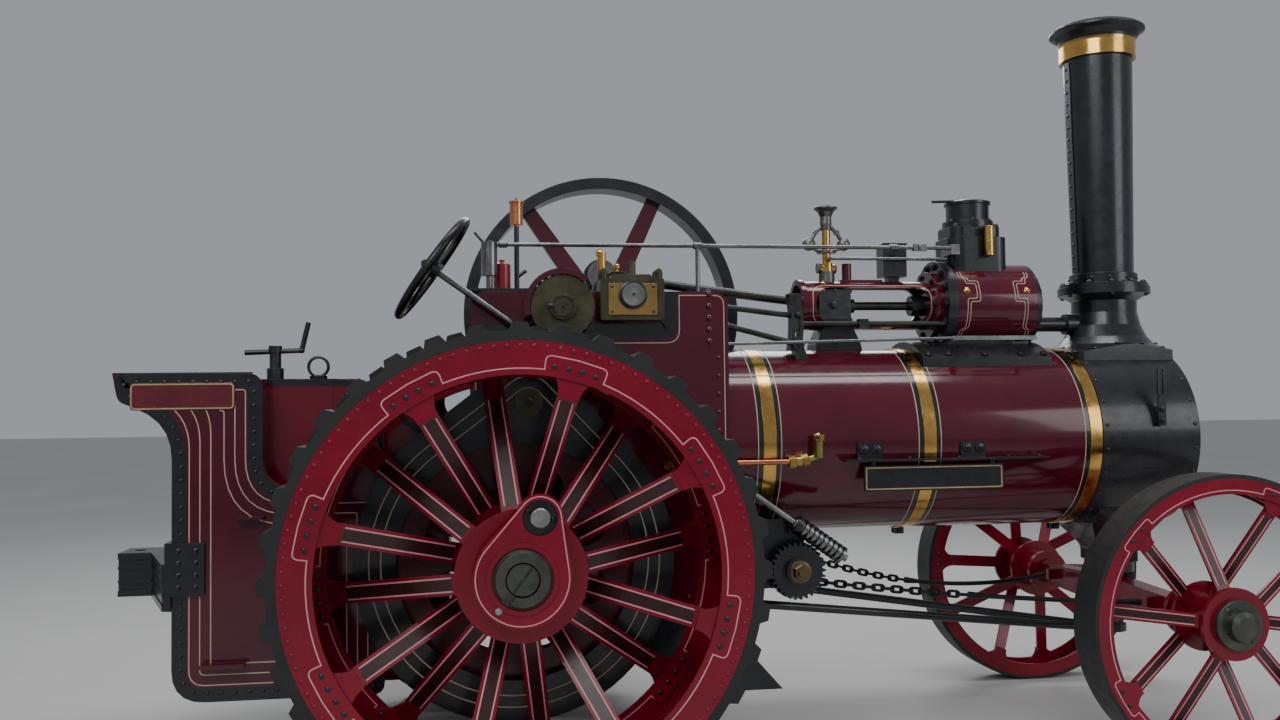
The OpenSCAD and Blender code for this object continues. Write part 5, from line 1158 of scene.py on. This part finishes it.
rear_ring, rear_root, rear_foot, rear_rivet_r, rear_rim_r = 0.012, 0.140, 0.700, 0.742, 0.808
foot_offsets = np.array((-1.5, -0.5, 0.5, 1.5)) * 0.050 / 0.740
rim_turns = np.arange(108) / 108 * 2 * np.pi
pin_turn = np.radians(73.5)
pin_far, plate_r, lobe_r, edge_in = 0.218, 0.171, 0.082, 0.009
lean = np.arccos((plate_r - lobe_r) / pin_far)
big = np.linspace(lean, 2 * np.pi - lean, 60)
small = np.linspace(-lean, lean, 30)
near_arc = np.stack([(plate_r - edge_in) * np.cos(big), (plate_r - edge_in) * np.sin(big)], -1)
lobe_arc = np.stack([pin_far + (lobe_r - edge_in) * np.cos(small), (lobe_r - edge_in) * np.sin(small)], -1)
flat = np.concatenate([near_arc, lobe_arc])
plate_turn, plate_reach = np.arctan2(flat[:, 1], flat[:, 0]) + pin_turn, np.hypot(*flat.T)
slot_way = np.array((np.cos(np.radians(52)), 0, np.sin(np.radians(52))))
dress(cap_steel, "rear_axle")
for side, hand in ((-1, "right"), (1, "left")):
    body, centre, ring_near, ring_far, hub_out = dressed_wheel("rear", side, hand, rear_ring, 0.020)
    near_turns = rear_turns + rear_gap * np.arange(8)
    spokes = (
        (near_turns, (rear_root, ring_far + 0.072), (rear_foot, ring_near - 0.019), ring_near),
        (near_turns + rear_gap / 2, (rear_root, hub_out - 0.090), (rear_foot, ring_far + 0.007), ring_far))
    dark, rosy = wheel_lines(
        centre, side, spokes, (0.245, 0.630), 0.014, 0.040, (0.0240, 0.0055),
        (0.7285, 0.779, np.radians(8.4), 0.022, 0.0045))
    rosy.append(strip(
        wheel_point(centre, side, plate_reach, plate_turn, hub_out), (0, side, 0), 0.004, closed=True))
    piece(f"rear_spoke_stripes_{hand}", dark, spoke_dark, body)
    piece(f"rear_wheel_lines_{hand}", rosy, rose, body)
    wheel_rivets = foot_rivets(centre, side, 0.0105, rear_rivet_r, spokes, foot_offsets, rear_ring)
    piece(f"rear_foot_rivets_{hand}", wheel_rivets, black, body)
    rim_rivets = [
        rivets(0.0085, wheel_point(centre, side, rear_rim_r, rim_turns, out), (0, way, 0))
        for out, way in ((ring_near, side), (ring_far - rear_ring, -side))]
    piece(f"rear_rim_rivets_{hand}", rim_rivets, crimson, body)
    out_way = np.array((0, side, 0))
    pin = wheel_point(centre, side, pin_far, pin_turn, hub_out)
    recess = [lathe(
        [(-0.0145, 0.0335), (-0.0145, 0.0615), (-0.0125, 0.0615), (-0.0125, 0.0335)], pin, out_way, 48,
        closed=True)]
    for turn in (pin_turn + 1.35, pin_turn - 1.45):
        spot = pin + np.array((0.047 * np.cos(turn), 0, 0.047 * np.sin(turn))) - 0.013 * out_way
        recess.append(rivets(0.010, spot, out_way, 12))
    piece(f"pin_recess_{hand}", recess, black, body)
    axle_end = wheel_point(centre, side, 0, 0, hub_out)
    bright_bits = [
        lathe(
            [(0.011, 0), (0.011, 0.0345), (0.014, 0.0345), (0.018, 0.030), (0.0185, 0)], pin, out_way, 48),
        nuts(0.024, wheel_point(centre, side, 0.135, np.radians(232), hub_out - 0.001), out_way)]
    piece(f"driving_pin_{hand}", bright_bits, pin_steel, body)
    cotter = [
        strip(axle_end + 0.0241 * out_way + np.outer((-0.052, 0.052), slot_way), out_way, 0.012, 0.0008),
        rivets(0.006, axle_end + 0.0243 * out_way, out_way, 12)]
    piece(f"axle_end_marks_{hand}", cotter, oiled, "engine")

# Front wheels: lighter wheels of the same make, with ten spokes and a smooth band of rubber. The steel
# cap keeps the oil in, and is held by two set screws.
front_ring, front_root, front_foot, front_rivet_r = 0.010, 0.088, 0.5117, 0.540
foot_offsets = np.radians((-3.2, 3.2))
for side, hand in ((-1, "right"), (1, "left")):
    body, centre, ring_near, ring_far, hub_out = dressed_wheel("front", side, hand, front_ring, 0.014)
    near_turns = np.radians(66 + 72 * np.arange(5))
    spokes = (
        (near_turns, (front_root, ring_far - 0.026), (front_foot, ring_near - 0.016), ring_near),
        (near_turns + np.radians(36), (front_root, hub_out - 0.018), (front_foot, ring_far + 0.006),
         ring_far))
    dark, rosy = wheel_lines(
        centre, side, spokes, (0.155, 0.452), 0.012, 0.026, (0.0170, 0.0045),
        (0.5270, 0.5560, np.radians(8.0), 0.014, 0.0040))
    piece(f"front_spoke_stripes_{hand}", dark, spoke_dark, body)
    piece(f"front_wheel_lines_{hand}", rosy, rose, body)
    wheel_rivets = foot_rivets(centre, side, 0.0095, front_rivet_r, spokes, foot_offsets, front_ring)
    piece(f"front_foot_rivets_{hand}", wheel_rivets, black, body)
    screws = [
        rivets(
            0.011, wheel_point(centre, side, 0.082, np.radians((130, 310)), hub_out + 0.0263), (0, side, 0),
            12),
        lathe(
            [(0, 0.097), (0.003, 0.099), (0.006, 0.097), (0.003, 0.094)],
            wheel_point(centre, side, 0, 0, hub_out + 0.018), (0, side, 0), 48, closed=True)]
    piece(f"front_cap_screws_{hand}", screws, cap_steel, body)

# Flywheel: a cast wheel on the left end of the crankshaft, its rim black at the sides and bare grey where
# the belt runs, with maroon spokes and hub, and cream lines round the rim's side.
wheel_centre, _ = middle("flywheel")
fly_low, fly_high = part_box("flywheel")


def in_drum(centre, inner, outer):
    """A zone between two radii about an axis that runs across the engine: length of (x, z) - centre
    compared."""
    def mask(tree, place):
        across = worked(
            tree, "Vector", "MULTIPLY", worked(tree, "Vector", "SUBTRACT", place, centre), (1, 0, 1))
        return worked(
            tree, "", "COMPARE", worked(tree, "Vector", "LENGTH", across), (inner + outer) / 2,
            (outer - inner) / 2)
    return mask


fly_r = (fly_high[0] - fly_low[0]) / 2
fly_finish = finish(
    "flywheel_paints", maroon_tone,
    [(in_drum(wheel_centre, fly_r - 0.056, fly_r - 0.002), black_tone),
     (in_drum(wheel_centre, fly_r - 0.002, fly_r + 0.05),
      ((0.13, 0.13, 0.13), (0.07, 0.07, 0.07), 0.30, 0.45, 0.9))],
    coat=0.4, dust=0.05)
dress(fly_finish, "flywheel")
round_turns = np.arange(160) / 160 * 2 * np.pi
fly_lines = [
    strip(wheel_point(wheel_centre, 1, radius, round_turns, fly_high[1]), (0, 1, 0), 0.004, closed=True)
    for radius in (fly_r - 0.016, fly_r - 0.042)]
piece("flywheel_lines", fly_lines, cream, "flywheel")
